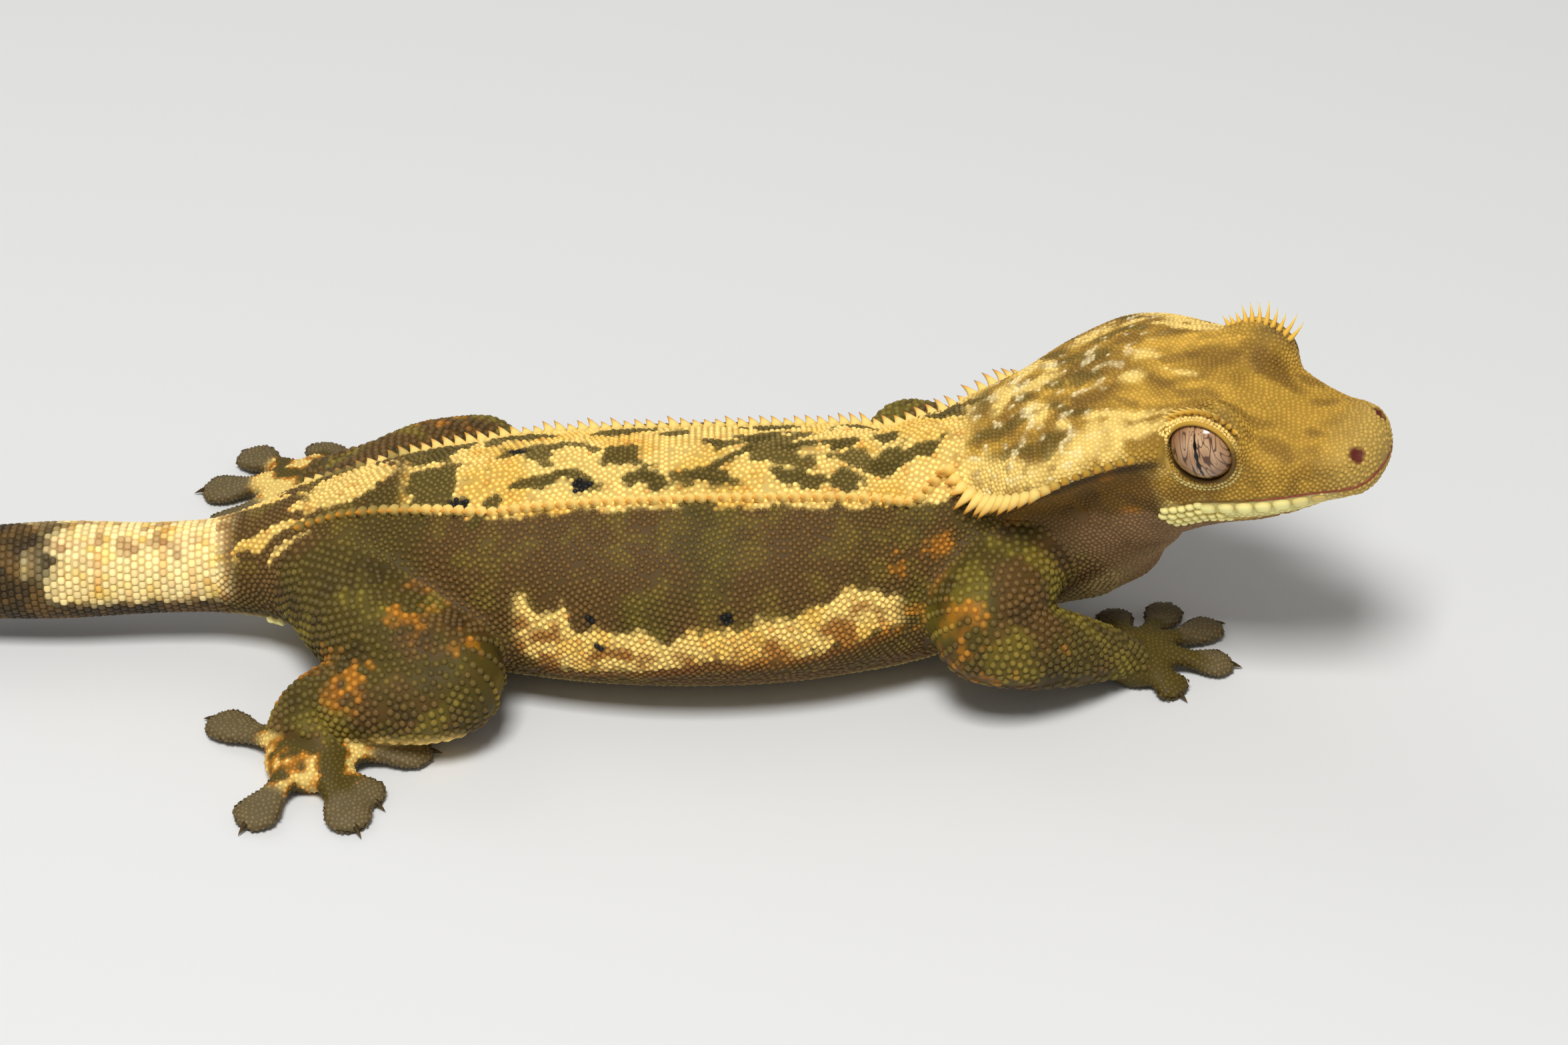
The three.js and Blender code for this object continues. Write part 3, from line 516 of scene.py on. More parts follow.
# Body: olive-brown flanks, a cream band between the crests with olive patches, and a cream stripe low on each
# side. Each marking is a mix by ramps of the place along, the angle round the form, and noises
def bodyColour(p):
    row = along(bodyKeys, body["rows"], p[:, 0])
    x, y = p[:, 0], p[:, 1]
    high = (p[:, 2] - row[:, 2]) / np.where(p[:, 2] > row[:, 2], row[:, 4], row[:, 5])
    wide = np.abs(y - row[:, 1]) / row[:, 3]
    angle = np.degrees(np.arctan2(high, wide))
    wander = noise(p, 1.1, 5) + 0.6 * noise(p, 0.5, 6)
    bent = p + 0.7 * np.stack([noise(p, 2.2, 7), noise(p, 2.2, 14), 0 * x], -1)
    colour = mix(plain("umber", p), tones["olive"], 0.8 * ramp(layered(p, 7, 2), -0.3, 0.6))
    colour = mix(colour, tones["moss"], 0.3 * ramp(layered(p, 2, 8), 0.0, 0.7))
    pelvis = ramp(-x, 23.5, 25.5)
    back = ramp(angle - crestAngle(x) + 2 * wander, -3, -1) * (1 - pelvis)
    pale = mix(plain("cream", p), tones["straw"], 0.7 * ramp(layered(p, 3.4, 4), -0.1, 0.8))
    band = mix(pale, tones["orange"], 0.5 * ramp(noise(p, 0.65, 12), 0.42, 0.7))
    net = ramp(layered(bent * (0.6, 1, 1), 2.6, 90) + 0.2 * wander, 0.36, 0.48)
    colour = mix(colour, mix(band, tones["olive"], 0.9 * net * ramp(angle - crestAngle(x), 4, 9)), back)
    side = np.where(y < row[:, 1], 0, 1)
    shift = side * 2.3
    upper, lower = interpolate(stripe["top"], x + shift), interpolate(stripe["low"], x + shift)
    strip = ramp(upper - angle + 3 * wander, -1.5, 1.5) * ramp(angle - lower + 4 * wander, -1.5, 2.5)
    strip = strip * ramp(x, -14.8, -13.4) * ramp(-x, -21.5, -19.5)
    mottled = mix(band, tones["rust"], 0.85 * ramp(noise(p, 1.2, 31) + 0.5 * wander, -0.25, 0.35)
                  * ramp(upper - angle, 4, 11))
    fringe = 0.5 * ramp(angle - lower, -10, -2) * ramp(x, -14, -11) * ramp(lower - angle, -4, 4)
    colour = mix(colour, tones["rust"], fringe * ramp(-x, -22, -18))
    colour = mix(colour, mottled, strip)
    colour = mix(colour, tones["belly"], ramp(-angle, 34, 50))
    for name, places in backPatches.items():
        wholly = 1 if name == "black" else 0.95
        for place in places:
            colour = mix(colour, band if name == "cream" else tones[name],
                         wholly * patch(bent, *place, wander) * ramp(angle, 22, 34))
    for spotX, spotAngle, radius in stripe["spots"]:
        off = np.hypot(x - spotX, (angle - spotAngle) * row[:, 4] / 57) + 3 * side
        colour = mix(colour, tones["black"], ramp(radius + 0.15 * wander - off, -0.1, 0.15))
    for spotX, spotAngle, radius in stripe["rust"]:
        off = np.hypot(x - spotX, (angle - spotAngle) * row[:, 4] / 57)
        colour = mix(colour, tones["orange"], 0.55 * ramp(radius + 0.8 * wander - off, -0.2, 0.8)
                     * ramp(noise(p, 0.8, 46), -0.3, 0.2))
    tail = ramp(-x, 40, 42.5)
    ring = np.sin(x * 2.1 + 0.5 * noise(p, 3, 40)) > 0.93
    top = ramp(high + 0.12 * wander, -0.35, -0.1) * ramp(x + 1.6 * wander, -58.5, -56)
    later = ramp(layered(p, 6, 44), 0.12, 0.35) * ramp(high, -0.2, 0.2) * ramp(-x, 57, 62)
    middle = 0.75 * ramp(0.5 + 0.6 * wander - np.abs(y - row[:, 1] + 1.6), -0.3, 0.3)
    lined = mix(band, tones["orange"], middle * ramp(noise(p, 2.2, 41), -0.2, 0.2))
    lined = mix(mix(lined, tones["shine"], 0.6 * ramp(1.0 + wander, 0, 1)), tones["orange"], 0.4 * ring)
    ridge = np.maximum(ramp(high, 0.55, 0.8), ramp(0.1 - high, 0, 0.2))
    flecks = ramp(noise(p, 1.0, 45) + 0.3 * wander, 0.25, 0.5) * ridge
    lined = mix(lined, tones["rust"], 0.6 * flecks)
    under = mix(plain("bark", p), tones["umber"], ramp(layered(p, 2, 43), -0.3, 0.4))
    return mix(colour, mix(under, lined, np.maximum(top, 0.7 * later)), tail)


# Patches on the head as seen from above, the same on both sides: x, distance from the middle, half length,
# half width, turn in degrees
headPatches = dict(
    gold=[(19.9, 0, 2.5, 1.2, 0), (24, 1.9, 1.5, 0.8, -20), (19.3, 6, 1.2, 0.8, 0),
          (9.5, 10.6, 2.6, 0.8, -10)],
    brown=[(4.5, 4.5, 1.7, 1.0, 0), (8.4, 5.6, 1.4, 0.5, 15), (13.5, 2.5, 2.0, 1.1, -15),
           (18, 3.4, 2.4, 0.9, -10),
           (23.6, 2.4, 1.1, 0.6, 0), (21, 5.4, 1.4, 0.8, 0), (10.3, 2, 1.6, 0.6, 20)],
    cream=[(-3.2, 11.6, 6.4, 1.3, 20), (-9.6, 7.3, 2.4, 2.0, 0), (-5.5, 2.6, 1.1, 2.2, 10),
           (-2.6, 1.5, 1.9, 0.7, -30),
           (-0.8, 6.0, 1.9, 0.8, 50), (5.6, 10.5, 3.6, 1.2, -12), (9.4, 8.4, 3.8, 0.6, -8),
           (9.6, 6.8, 2.8, 0.45, -5),
           (6.8, 7.6, 1.4, 0.5, 10), (7.4, 2.2, 1.2, 0.9, 0), (11, 0, 1.4, 0.5, 0),
           (3.0, 8.0, 1.1, 0.6, 30)],
    olive=[(-8.3, 2.7, 1.3, 1.8, 0), (-5.1, 7.5, 1.7, 0.8, 0), (-1.6, 10.2, 2.4, 0.65, 12),
           (1.9, 9.9, 1.6, 0.8, -25),
           (-2.8, 6.9, 1.0, 0.6, 0), (-2.9, 3.3, 1.0, 0.8, 0), (-0.6, 2.0, 1.4, 0.6, 20),
           (1.8, 2.0, 1.3, 1.1, 0),
           (1.4, 5.3, 1.5, 0.6, 30), (3.9, 6.2, 1.3, 0.5, 0)],
)
# The crest's line and the lips' lower edge on the head, as x and z
headLines = dict(
    crest=[[-10, -4.4], [-4.8, -3.9], [-0.3, -1.1], [2.8, -0.1], [5.3, 0.6], [8.6, 1.0], [12.0, 1.2],
           [13.2, 0.8],
           [19, -1.0], [24, -3.0], [29, -3.6]],
    lip=[[12, -6.6], [14.5, -7.6], [19.4, -7.6], [22.7, -7.4], [26.1, -6.8], [28.9, -6.3], [30.3, -5.4]],
)


# Head: gold with cream and brown clouds over the crest line, brown cheeks, pale lips, grey-brown throat, each
# a mix by ramps of the place in the head's frame and noises
def headColour(p):
    q = toHead(p)
    x, side, z = q[:, 0], np.abs(q[:, 1]), q[:, 2]
    wander = noise(p, 1.0, 15) + 0.6 * noise(p, 0.5, 16)
    nape = ramp(-x, 0, 6)
    bent = np.stack([noise(q, 3, 50), noise(q, 3, 51), noise(q, 3, 52)], -1)
    cloud = 0.25 * nape + layered(q * (0.55, 1, 0.8) + 1.5 * bent, 3.4, 9)
    front = ramp(x, 14, 22)
    colour = mix(plain("ochre", p), tones["gold"], ramp(cloud, -0.3, 0.3))
    colour = mix(colour, tones["straw"], 0.5 * ramp(cloud + 0.2 * wander, 0.2, 0.6) * (1 - front))
    colour = mix(colour, tones["brown"], 0.4 * ramp(-cloud + 0.2 * wander, 0.2, 0.7))
    above = np.stack([x, side, 0 * x], -1) + 0.9 * bent
    for name, strength in (("gold", 0.7), ("brown", 0.65), ("cream", 0.9), ("olive", 0.72)):
        for place in headPatches[name]:
            colour = mix(colour, tones[name], strength * patch(above, *place, wander, 0.9))
    rear = ramp(9 - x, 0, 6)
    colour = mix(colour, tones["shine"], 0.6 * ramp(noise(p, 0.8, 64), 0.3, 0.55) * rear)
    colour = mix(colour, tones["brown"], 0.5 * ramp(noise(p, 0.75, 65), 0.25, 0.55) * rear)
    crestLine = interpolate(headLines["crest"], x)
    lowLip, mouth = interpolate(headLines["lip"], x), interpolate(head["mouth"], x)
    below = crestLine - z
    outer = ramp(side, 4.5, 6.5)
    cheek = mix(plain("brown", p), tones["umber"], ramp(layered(p, 3, 61), -0.4, 0.5) * 0.9)
    cheek = mix(cheek, tones["orange"], 0.45 * ramp(noise(p, 2.6, 62), 0.35, 0.7))
    colour = mix(colour, cheek, outer * ramp(below + 0.25 * wander, 0.3, 0.8) * ramp(12.2 - x, -0.5, 2.5))
    shadow = 0.75 * outer * bell(below - 1.1, 0.7) * ramp(x, -5, 0) * ramp(13 - x, 0, 2)
    colour = mix(colour, tones["bark"], shadow)
    colour = mix(colour, tones["snout"], 0.75 * ramp(x + 0.5 * wander, 23.5, 28.5))
    throat = mix(plain("throat", p), tones["umber"], 0.5 * ramp(layered(p, 4, 63), -0.2, 0.5))
    colour = mix(colour, throat, ramp(lowLip - z + 0.3 * wander + 1.2 * ramp(12 - x, 0, 4), 0.0, 1.2))
    lip = ramp(mouth - z, -0.1, 0.1) * ramp(z - lowLip, -0.2, 0.3) * ramp(x, 10, 11)
    colour = mix(colour, mix(plain("lip", p), tones["snout"], ramp(x, 23, 27)), lip)
    red = 0.8 * bell(z - mouth, 0.2) * ramp(x, 11, 12.5)
    colour = mix(colour, mix(plain("brown", p), tones["red"], ramp(x, 19, 24)), red)
    n = head["nostril"]
    pit = np.linalg.norm(np.stack([x - n["x"], side - n["y"], z - n["z"]], -1), axis=1)
    # Painted shade: the nostril's hollow and its edge are darkened to half the red tone
    return mix(colour, tones["red"] * 0.5, ramp(n["radius"] + 0.25 - pit, -0.1, 0.15))


# Rusty patches on the limbs: x, y, z, radius
limbPatches = [(-22.9, -15.2, 12.7, 2.2), (-29, -18.9, 8.5, 2.4), (-31.5, -14.6, 7.3, 2.2),
               (-27, -10.2, 10, 2.4),
               (-21.1, -10.3, 13, 1.8), (-17.9, -17, 10.6, 1.4), (-36, -17, 4, 1.8),
               (24.8, -15.3, 9.3, 1.6),
               (29, -16.5, 6.7, 1.6), (26.4, -15.5, 12.9, 2.0), (34, -13, 9, 1.4), (-22, 16, 12, 2.6),
               (24, 16, 12, 2.2)]


# Limbs: dark olive with rusty patches, and a cream edge under the near knee
def limbColour(p):
    wander = noise(p, 1.2, 25) + 0.6 * noise(p, 0.6, 26)
    colour = mix(plain("olive", p), tones["umber"], ramp(layered(p, 5, 22), -0.2, 0.4))
    colour = mix(colour, tones["moss"], 0.6 * ramp(layered(p, 4, 27), 0.0, 0.5))
    rusty = np.zeros(len(p))
    for x, y, z, radius in limbPatches:
        away = np.linalg.norm(p - (x, y, z), axis=1)
        rusty = np.maximum(rusty, ramp(radius - away + 1.4 * wander, -0.4, 1.2))
    colour = mix(colour, tones["orange"], 0.62 * rusty * ramp(noise(p, 0.9, 28) + 0.4 * wander, -0.3, 0.25))
    colour = mix(colour, tones["bark"], 0.5 * ramp(layered(p, 2.4, 29), 0.15, 0.6))
    edge = bell(p[:, 2] - 2.6, 1.1) * ramp(p[:, 0], -28, -26) * ramp(-18.2 - p[:, 0], 0, 1.5)
    edge = edge * ramp(-p[:, 1], 16, 18)
    return mix(colour, tones["cream"], np.clip(1.3 * edge, 0, 1))


# Paws: cream and olive mottle over the palm, grey-olive pads
def pawColour(p):
    palms = [np.hypot(p[:, 0] - paw["palm"][0], p[:, 1] - paw["palm"][1]) for paw in paws.values()]
    away = np.min(palms, axis=0)
    hind = p[:, 0] < 0
    mottle = noise(p, 1.8, 70) + 0.5 * noise(p, 0.8, 71)
    colour = mix(plain("olive", p), tones["orange"], ramp(mottle, 0.0, 0.35) * hind)
    colour = mix(colour, tones["cream"], ramp(mottle, 0.25, 0.5) * hind)
    return mix(colour, tones["pad"], ramp(away + 0.8 * mottle, 5.0, 6.6))


painters = {name: pawColour if name in paws else limbColour for name in forms}
painters.update(body=bodyColour, head=headColour)
markingBlend = 0.25  # how far the markings of two forms run into each other


# The markings at any place on the skin: each form's own, weighed by e to the minus of how much further it is
# than the nearest form
def markings(p):
    total, weight = 0, 0
    away = {name: sample(values, p) for name, values in forms.items()}
    least = np.min(list(away.values()), axis=0)
    for name in forms:
        w = np.exp((least - away[name]) / markingBlend)
        total = total + painters[name](p) * w[:, None]
        weight = weight + w
    return total / weight[:, None]


grid = vdb.FloatGrid()
grid.copyFromArray(skinField)
points, quads = grid.convertToQuads(isovalue=0)
points = (points + np.array(fieldStart)) * field["voxel"]
quads = quads[:, ::-1]
onHead = ramp(sample(forms["body"], points) - sample(forms["head"], points), -0.5, 0.5)
# Painted shade: the skin showing in the gaps between scales is darker than the markings, less so on the head
skinShade = dict(body=0.66, more=0.16)  # between scales the markings are darker, less so on the head
shade = skinShade["body"] + skinShade["more"] * onHead
skin = makeMesh("skin", points, quads, markings(points) * shade[:, None])
print("skin", len(points), "points", len(quads), "faces")


surface = dict(specular=0.22, grain=4200, detail=3, depth=0.00004, smoother=0.1, rougher=0.14)


# Skin: the markings as colour, and one fine noise for the relief and for how rough it is
def skinMaterial(name, roughness, relief=0.6):
    material = bpy.data.materials.new(name)
    material.use_nodes = True
    nodes, links = material.node_tree.nodes, material.node_tree.links
    shader = nodes["Principled BSDF"]
    shader.inputs["Roughness"].default_value = roughness
    shader.inputs["Specular IOR Level"].default_value = surface["specular"]
    marking = nodes.new("ShaderNodeAttribute")
    marking.attribute_name = "marking"
    links.new(marking.outputs["Color"], shader.inputs["Base Color"])
    place = nodes.new("ShaderNodeTexCoord")
    grain = nodes.new("ShaderNodeTexNoise")
    grain.inputs["Scale"].default_value = surface["grain"]
    grain.inputs["Detail"].default_value = surface["detail"]
    links.new(place.outputs["Object"], grain.inputs["Vector"])
    bump = nodes.new("ShaderNodeBump")
    bump.inputs["Strength"].default_value = relief
    bump.inputs["Distance"].default_value = surface["depth"]
    links.new(grain.outputs["Fac"], bump.inputs["Height"])
    links.new(bump.outputs["Normal"], shader.inputs["Normal"])
    gloss = nodes.new("ShaderNodeMapRange")
    gloss.inputs["To Min"].default_value = roughness - surface["smoother"]
    gloss.inputs["To Max"].default_value = roughness + surface["rougher"]
    links.new(grain.outputs["Fac"], gloss.inputs["Value"])
    links.new(gloss.outputs["Result"], shader.inputs["Roughness"])
    return material


skin.data.materials.append(skinMaterial("skinBetweenScales", 0.6))
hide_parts("head", "lower_jaw", "neck", "torso", "hips", "tail_base", "tail_middle", "tail_tip",
            "upper_arm_left", "forearm_left", "hand_left", "upper_arm_right", "forearm_right", "hand_right",
            "thigh_left", "shin_left", "foot_left", "thigh_right", "shin_right", "foot_right")


# Scales: rings as share of the radius and of the height, and how the markings darken at a foot, as the pits'
# warmer colour and painted shade, and lighten at a crown as a painted highlight, in red, green and blue
scaleShape = dict(
    fine=dict(rings=[(1.0, -0.5)], sides=6), dome=dict(rings=[(1.0, -0.5), (0.74, 0.6)], sides=6),
    plate=dict(rings=[(1.0, -0.4), (0.9, 0.55), (0.55, 0.92)], sides=10), box=0.7,
    foot=np.array([0.6, 0.48, 0.34]), crownHighlight=np.array([1.3, 1.33, 1.4]),
)
meshLimit = 190000  # triangles in one piece
bakePatch = 0.0012  # a scale's half size on the unwrap


# Triangles between rings of a cone from its foot up, closed by one corner at the top
def coneFaces(rings, sides):
    i = np.arange(sides)
    j = (i + 1) % sides
    faces = []
    for k in range(rings - 1):
        a, b = k * sides, (k + 1) * sides
        faces += [np.stack([a + i, a + j, b + j], -1), np.stack([a + i, b + j, b + i], -1)]
    last = (rings - 1) * sides
    faces.append(np.stack([last + i, last + j, np.full(sides, last + sides)], -1))
    return np.concatenate(faces)


# The same faces for each of many copies, each copy's corners after the last one's
def copied(faces, corners, count):
    return (faces[None] + corners * np.arange(count)[:, None, None]).reshape(-1, 3)


# A dome of rings about its middle: cos and sin of the turn, made boxy by a power for plates, and a top corner
def domeShape(kind):
    rings, sides = scaleShape[kind]["rings"], scaleShape[kind]["sides"]
    turn = 2 * np.pi * (np.arange(sides) + 0.5) / sides
    power = scaleShape["box"] if kind == "plate" else 1
    c = np.sign(np.cos(turn)) * np.abs(np.cos(turn)) ** power
    d = np.sign(np.sin(turn)) * np.abs(np.sin(turn)) ** power
    points = [np.stack([r * c, r * d, np.full(sides, z)], -1) for r, z in rings] + [np.array([[0.0, 0, 1]])]
    return np.concatenate(points), coneFaces(len(rings), sides)


# Places for scales: rows a step apart along the form, spots evenly apart round each, and every other row
# staggered by half a spot
def scaleSpots(point, low, high, pitch, row=0.86):
    fine = np.linspace(low, high, 600)
    middle = (point(fine, 0 * fine) + point(fine, 0 * fine + np.pi)) / 2
    run = np.concatenate([[0], np.cumsum(np.linalg.norm(np.diff(middle, axis=0), axis=1))])
    stations = np.interp(np.arange(pitch / 2, run[-1], pitch * row), run, fine)
    v = np.linspace(-np.pi / 2, 1.5 * np.pi, 181)
    rings = point(np.repeat(stations[:, None], len(v), 1), np.repeat(v[None], len(stations), 0))
    arcs = np.linalg.norm(np.diff(rings, axis=1), axis=2)
    girth = np.concatenate([np.zeros((len(stations), 1)), np.cumsum(arcs, axis=1)], 1)
    at, turn = [], []
    for i, station in enumerate(stations):
        count = max(5, int(round(girth[i, -1] / pitch)))
        spots = (np.arange(count) + 0.5 * (i % 2)) * girth[i, -1] / count
        turn.append(np.interp(spots, girth[i], v))
        at.append(np.full(count, station))
    at, turn = np.concatenate(at), np.concatenate(turn)
    roots = point(at, turn)
    ahead = unit(point(at + 0.01 * np.sign(high - low), turn) - roots)
    return roots, ahead, at, turn


# Where scales leave the skin free: margins round the eye and the nostril, a share of the ear's radii, and the
# lips' strip, which is deeper behind its corner x. All of it counts only within reach of the head's origin
free = dict(rim=0.35, nostril=0.3, ear=1.1, reach=45)
lipStrip = dict(rear=10.3, front=24.6, corner=14.9, deep=-3.1, shallow=-1.7, top=0.3, line=0.2, lineRear=12)


# Whether a place is outside each opening's margin and the lips' strip
def clearOfOpenings(p):
    q = toHead(p)
    x, side, z = q[:, 0], np.abs(q[:, 1]), q[:, 2]
    n, e = head["nostril"], head["ear"]
    opening = np.hypot(x - eye["x"], z - eye["z"]) < eye["rim"]["radius"] + free["rim"]
    opening = opening & (side > eye["y"] + 0.8)
    pit = np.linalg.norm(np.stack([x - n["x"], side - n["y"], z - n["z"]], -1), axis=1)
    pit = pit < n["radius"] + free["nostril"]
    cup = np.linalg.norm((np.stack([x - e["x"], side - e["y"], z - e["z"]], -1)) / e["radii"], axis=1)
    cup = cup < free["ear"]
    high = z - interpolate(head["mouth"], x)
    low = np.where(x < lipStrip["corner"], lipStrip["deep"], lipStrip["shallow"])
    lips = (x > lipStrip["rear"]) & (x < lipStrip["front"]) & (side > 1)
    lips = lips & (high < lipStrip["top"]) & (high > low)
    lips = lips | ((x > lipStrip["lineRear"]) & (np.abs(high) < lipStrip["line"]))
    inside = np.linalg.norm(p - np.array(head["origin"]), axis=1) < free["reach"]
    return ~((opening | pit | cup | lips) & inside)


# Spots put onto the skin, less those too deep in it, nearer another form, at the floor or in an opening
def keptSpots(name, roots, ahead, uv, sunk):
    deep = sample(wholeField, roots) > sunk
    roots, ahead, uv = roots[deep], ahead[deep], uv[deep]
    roots = ontoSkin(roots, 7, wholeField)
    own = sample(forms[name], roots)
    others = np.min([sample(values, roots) for other, values in forms.items() if other != name], axis=0)
    kept = (own < others) & (roots[:, 2] > 0.12) & (np.abs(sample(skinField, roots)) < 0.1)
    kept = kept & clearOfOpenings(roots)
    return roots[kept], ahead[kept], uv[kept]


# Thinning: goes through the spots in turn, and each that stays drops those nearer to it than its own reach
def thinned(roots, reach):
    tree = KDTree(len(roots))
    for i, root in enumerate(roots):
        tree.insert(root, i)
    tree.balance()
    alive = np.ones(len(roots), bool)
    for i, root in enumerate(roots):
        if alive[i]:
            alive[[found[1] for found in tree.find_range(root, reach[i])]] = False
            alive[i] = True
    return alive


# A joined mesh of domes: each stands along its place's normal, is dark at its foot with the pits' colour and
# painted shade, and light at its top with a painted highlight
def layScales(name, roots, ahead, size, height, uv, kind, slot, colour=None, top=None, contrast=1.0):
    normal = slopeOf(skinField, roots)
    forward = unit(ahead - normal * np.sum(ahead * normal, 1, keepdims=True))
    side = np.cross(normal, forward)
    shape, faces = domeShape(kind)
    size = np.broadcast_to(size, (len(roots), 2)) * rng.uniform(0.9, 1.08, (len(roots), 1))
    height = np.broadcast_to(height, len(roots)) * rng.uniform(0.85, 1.15, len(roots))
    points = (roots[:, None] + forward[:, None] * (shape[None, :, :1] * size[:, None, :1])
              + side[:, None] * (shape[None, :, 1:2] * size[:, None, 1:])
              + normal[:, None] * (shape[None, :, 2:] * height[:, None, None]))
    mark = markings(roots) if colour is None else colour
    mark = mark * rng.uniform(0.88, 1.12, (len(roots), 1))
    # Painted highlight: each dome's crown is lightened from the markings, or takes the given top colour
    crownHighlight = mark * (1 + contrast * (scaleShape["crownHighlight"] - 1)) + 0.01 if top is None else top
    # Each dome's foot is darkened and warmed: the pits' own orange-brown colour and painted shade
    foot = mark * (1 + contrast * (scaleShape["foot"] - 1))
    rise = np.clip(shape[:, 2], 0, 1)[None, :, None]
    shades = foot[:, None] + (crownHighlight - foot)[:, None] * rise
    spread = uv[:, None] + bakePatch * shape[None, :, :2]
    parts = max(1, int(np.ceil(len(roots) / (meshLimit // len(faces)))))
    for k, share in enumerate(np.array_split(np.arange(len(roots)), parts)):
        piece = makeMesh(name if parts == 1 else f"{name}_{k + 1}", points[share],
                         copied(faces, len(shape), len(share)), shades[share].reshape(-1, 3),
                         spread[share].reshape(-1, 2))
        piece.data.materials.append(materials[slot])
    print(name, len(roots), "scales in", parts)


materials = {slot: skinMaterial(slot + "Scales", roughness) for slot, roughness in dict(
    head_skin=0.5, jaw_skin=0.45, back_skin=0.5, hip_skin=0.5, tail_skin=0.5, limb_skin=0.5, toe_skin=0.55,
).items()}


# Places on the unwrap: the share of the stations along, and the share of a full turn up
def atlas(at, turn, low, high, corner, size):
    return np.stack([corner[0] + size[0] * (at - low) / (high - low),
                     corner[1] + size[1] * ((turn + np.pi / 2) / (2 * np.pi))], -1)


# Each form's coat: first and last station, the scales' pitch and height, their corner and size on the unwrap.
# Rings keeps whole rings unthinned, contrast is the strength of the foot's pit colour and painted shade and
# of the crown's painted highlight, sunk is how deep a spot may lie
coats = [
    dict(name="body", piece="scalesTrunk", low=-42, high=43, pitch=0.52, height=0.19, kind="dome",
         slot="back_skin", corner=(0.0, 0.0), size=(0.66, 0.4), rings=False, contrast=1.05, sunk=-0.8),
    dict(name="body", piece="scalesTail", low=-128, high=-42, pitch=0.78, height=0.13, kind="plate",
         slot="tail_skin", corner=(0.67, 0.0), size=(0.3, 0.4), rings=True, contrast=0.45, sunk=-0.8),
    dict(name="head", piece="scalesHead", low=-10, high=29.25, pitch=0.42, height=0.1, kind="dome",
         slot="head_skin", corner=(0.0, 0.42), size=(0.4, 0.4), rings=False, contrast=0.5, sunk=-2.6),
]
for k, name in enumerate(limbs):
    coats.append(dict(
        name=name, piece="scales" + name[0].upper() + name[1:], low=0, high=len(limbs[name]) - 1, pitch=0.72,
        height=0.24, kind="dome", slot="limb_skin", corner=(0.42 + 0.14 * k, 0.42), size=(0.13, 0.2),
        rings=False, contrast=1.05, sunk=-0.8))
pawCoat = dict(pitch=0.4, spots=0.22, size=(0.26, 0.26), height=0.13, sunk=-1.2)
spotShare = 0.42  # before thinning the spots lie this share of the pitch apart


# Places on the bulge over each eye: even spots on a ball, by the golden angle
def eyeSpots(pitch):
    reach = eye["radius"] + eye["cover"]
    count = int(4 * np.pi * (reach / pitch) ** 2)
    k = np.arange(count)
    z = 1 - 2 * (k + 0.5) / count
    turn = k * np.pi * (3 - math.sqrt(5))
    flat = np.sqrt(1 - z * z)
    found = []
    for side in (1, -1):
        way = np.stack([flat * np.cos(turn), side * np.abs(z), flat * np.sin(turn)], -1)
        roots = fromHead(np.array([eye["x"], side * eye["y"], eye["z"]]) + reach * way)
        ahead = np.broadcast_to(headTurn[:, 0], roots.shape)
        uv = np.stack([0.72 + 0.1 * side + 0.08 * way[:, 0], 0.9 + 0.06 * way[:, 2]], -1)
        found.append((roots, ahead, uv))
    return [np.concatenate(parts) for parts in zip(*found)]


for coat in coats:
    form = {"body": bodyPoint, "head": headPoint}.get(coat["name"]) or limbPoint(coat["name"])
    step = coat["pitch"] * (1 if coat["rings"] else spotShare)
    roots, ahead, at, turn = scaleSpots(form, coat["low"], coat["high"], step)
    uv = atlas(at, turn, coat["low"], coat["high"], coat["corner"], coat["size"])
    if coat["name"] == "head":
        more = eyeSpots(coat["pitch"] * spotShare)
        roots, ahead, uv = [np.concatenate(parts) for parts in zip((roots, ahead, uv), more)]
    roots, ahead, uv = keptSpots(coat["name"], roots, ahead, uv, coat["sunk"])
    wide = (coat["pitch"] * 0.42, coat["pitch"] * 0.48)
    if not coat["rings"]:
        under = ramp(-slopeOf(skinField, roots)[:, 2], 0.3, 0.8)  # scales are larger on the underside
        reach = coat["pitch"] * (0.88 + 0.4 * under) * (1 + 0.1 * noise(roots, 3, 99))
        kept = thinned(roots, reach)
        roots, ahead, uv = roots[kept], ahead[kept], uv[kept]
        wide = reach[kept][:, None] * (0.64, 0.62)
    layScales(coat["piece"], roots, ahead, wide, coat["height"], uv, coat["kind"], coat["slot"],
              contrast=coat["contrast"])
for k, (name, paw) in enumerate(paws.items()):
    found = []
    for j, tip in enumerate(paw["tips"]):
        roots, ahead, at, turn = scaleSpots(digits[name, tip], 0.1, 1.0, pawCoat["spots"])
        corner = (0.42 + 0.14 * k + 0.026 * j, 0.64)
        found.append((roots, ahead, atlas(at, turn, 0.1, 1.0, corner, (0.024, 0.12))))
    roots, ahead, uv = [np.concatenate(parts) for parts in zip(*found)]
    roots, ahead, uv = keptSpots(name, roots, ahead, uv, pawCoat["sunk"])
    kept = thinned(roots, np.full(len(roots), pawCoat["pitch"]))
    roots, ahead, uv = roots[kept], ahead[kept], uv[kept]
    layScales("scales" + name[0].upper() + name[1:], roots, ahead, pawCoat["size"], pawCoat["height"], uv,
              "fine", "toe_skin")


# The outermost place on the skin along lines: steps inwards from beyond it until the field turns negative
def outermost(origins, directions, reach=16.0, steps=161):
    t = np.linspace(reach, 0, steps)
    p = origins[:, None] + directions[:, None] * t[None, :, None]
    inside = sample(skinField, p.reshape(-1, 3)).reshape(len(origins), steps) < 0
    return ontoSkin(p[np.arange(len(origins)), np.argmax(inside, 1)])


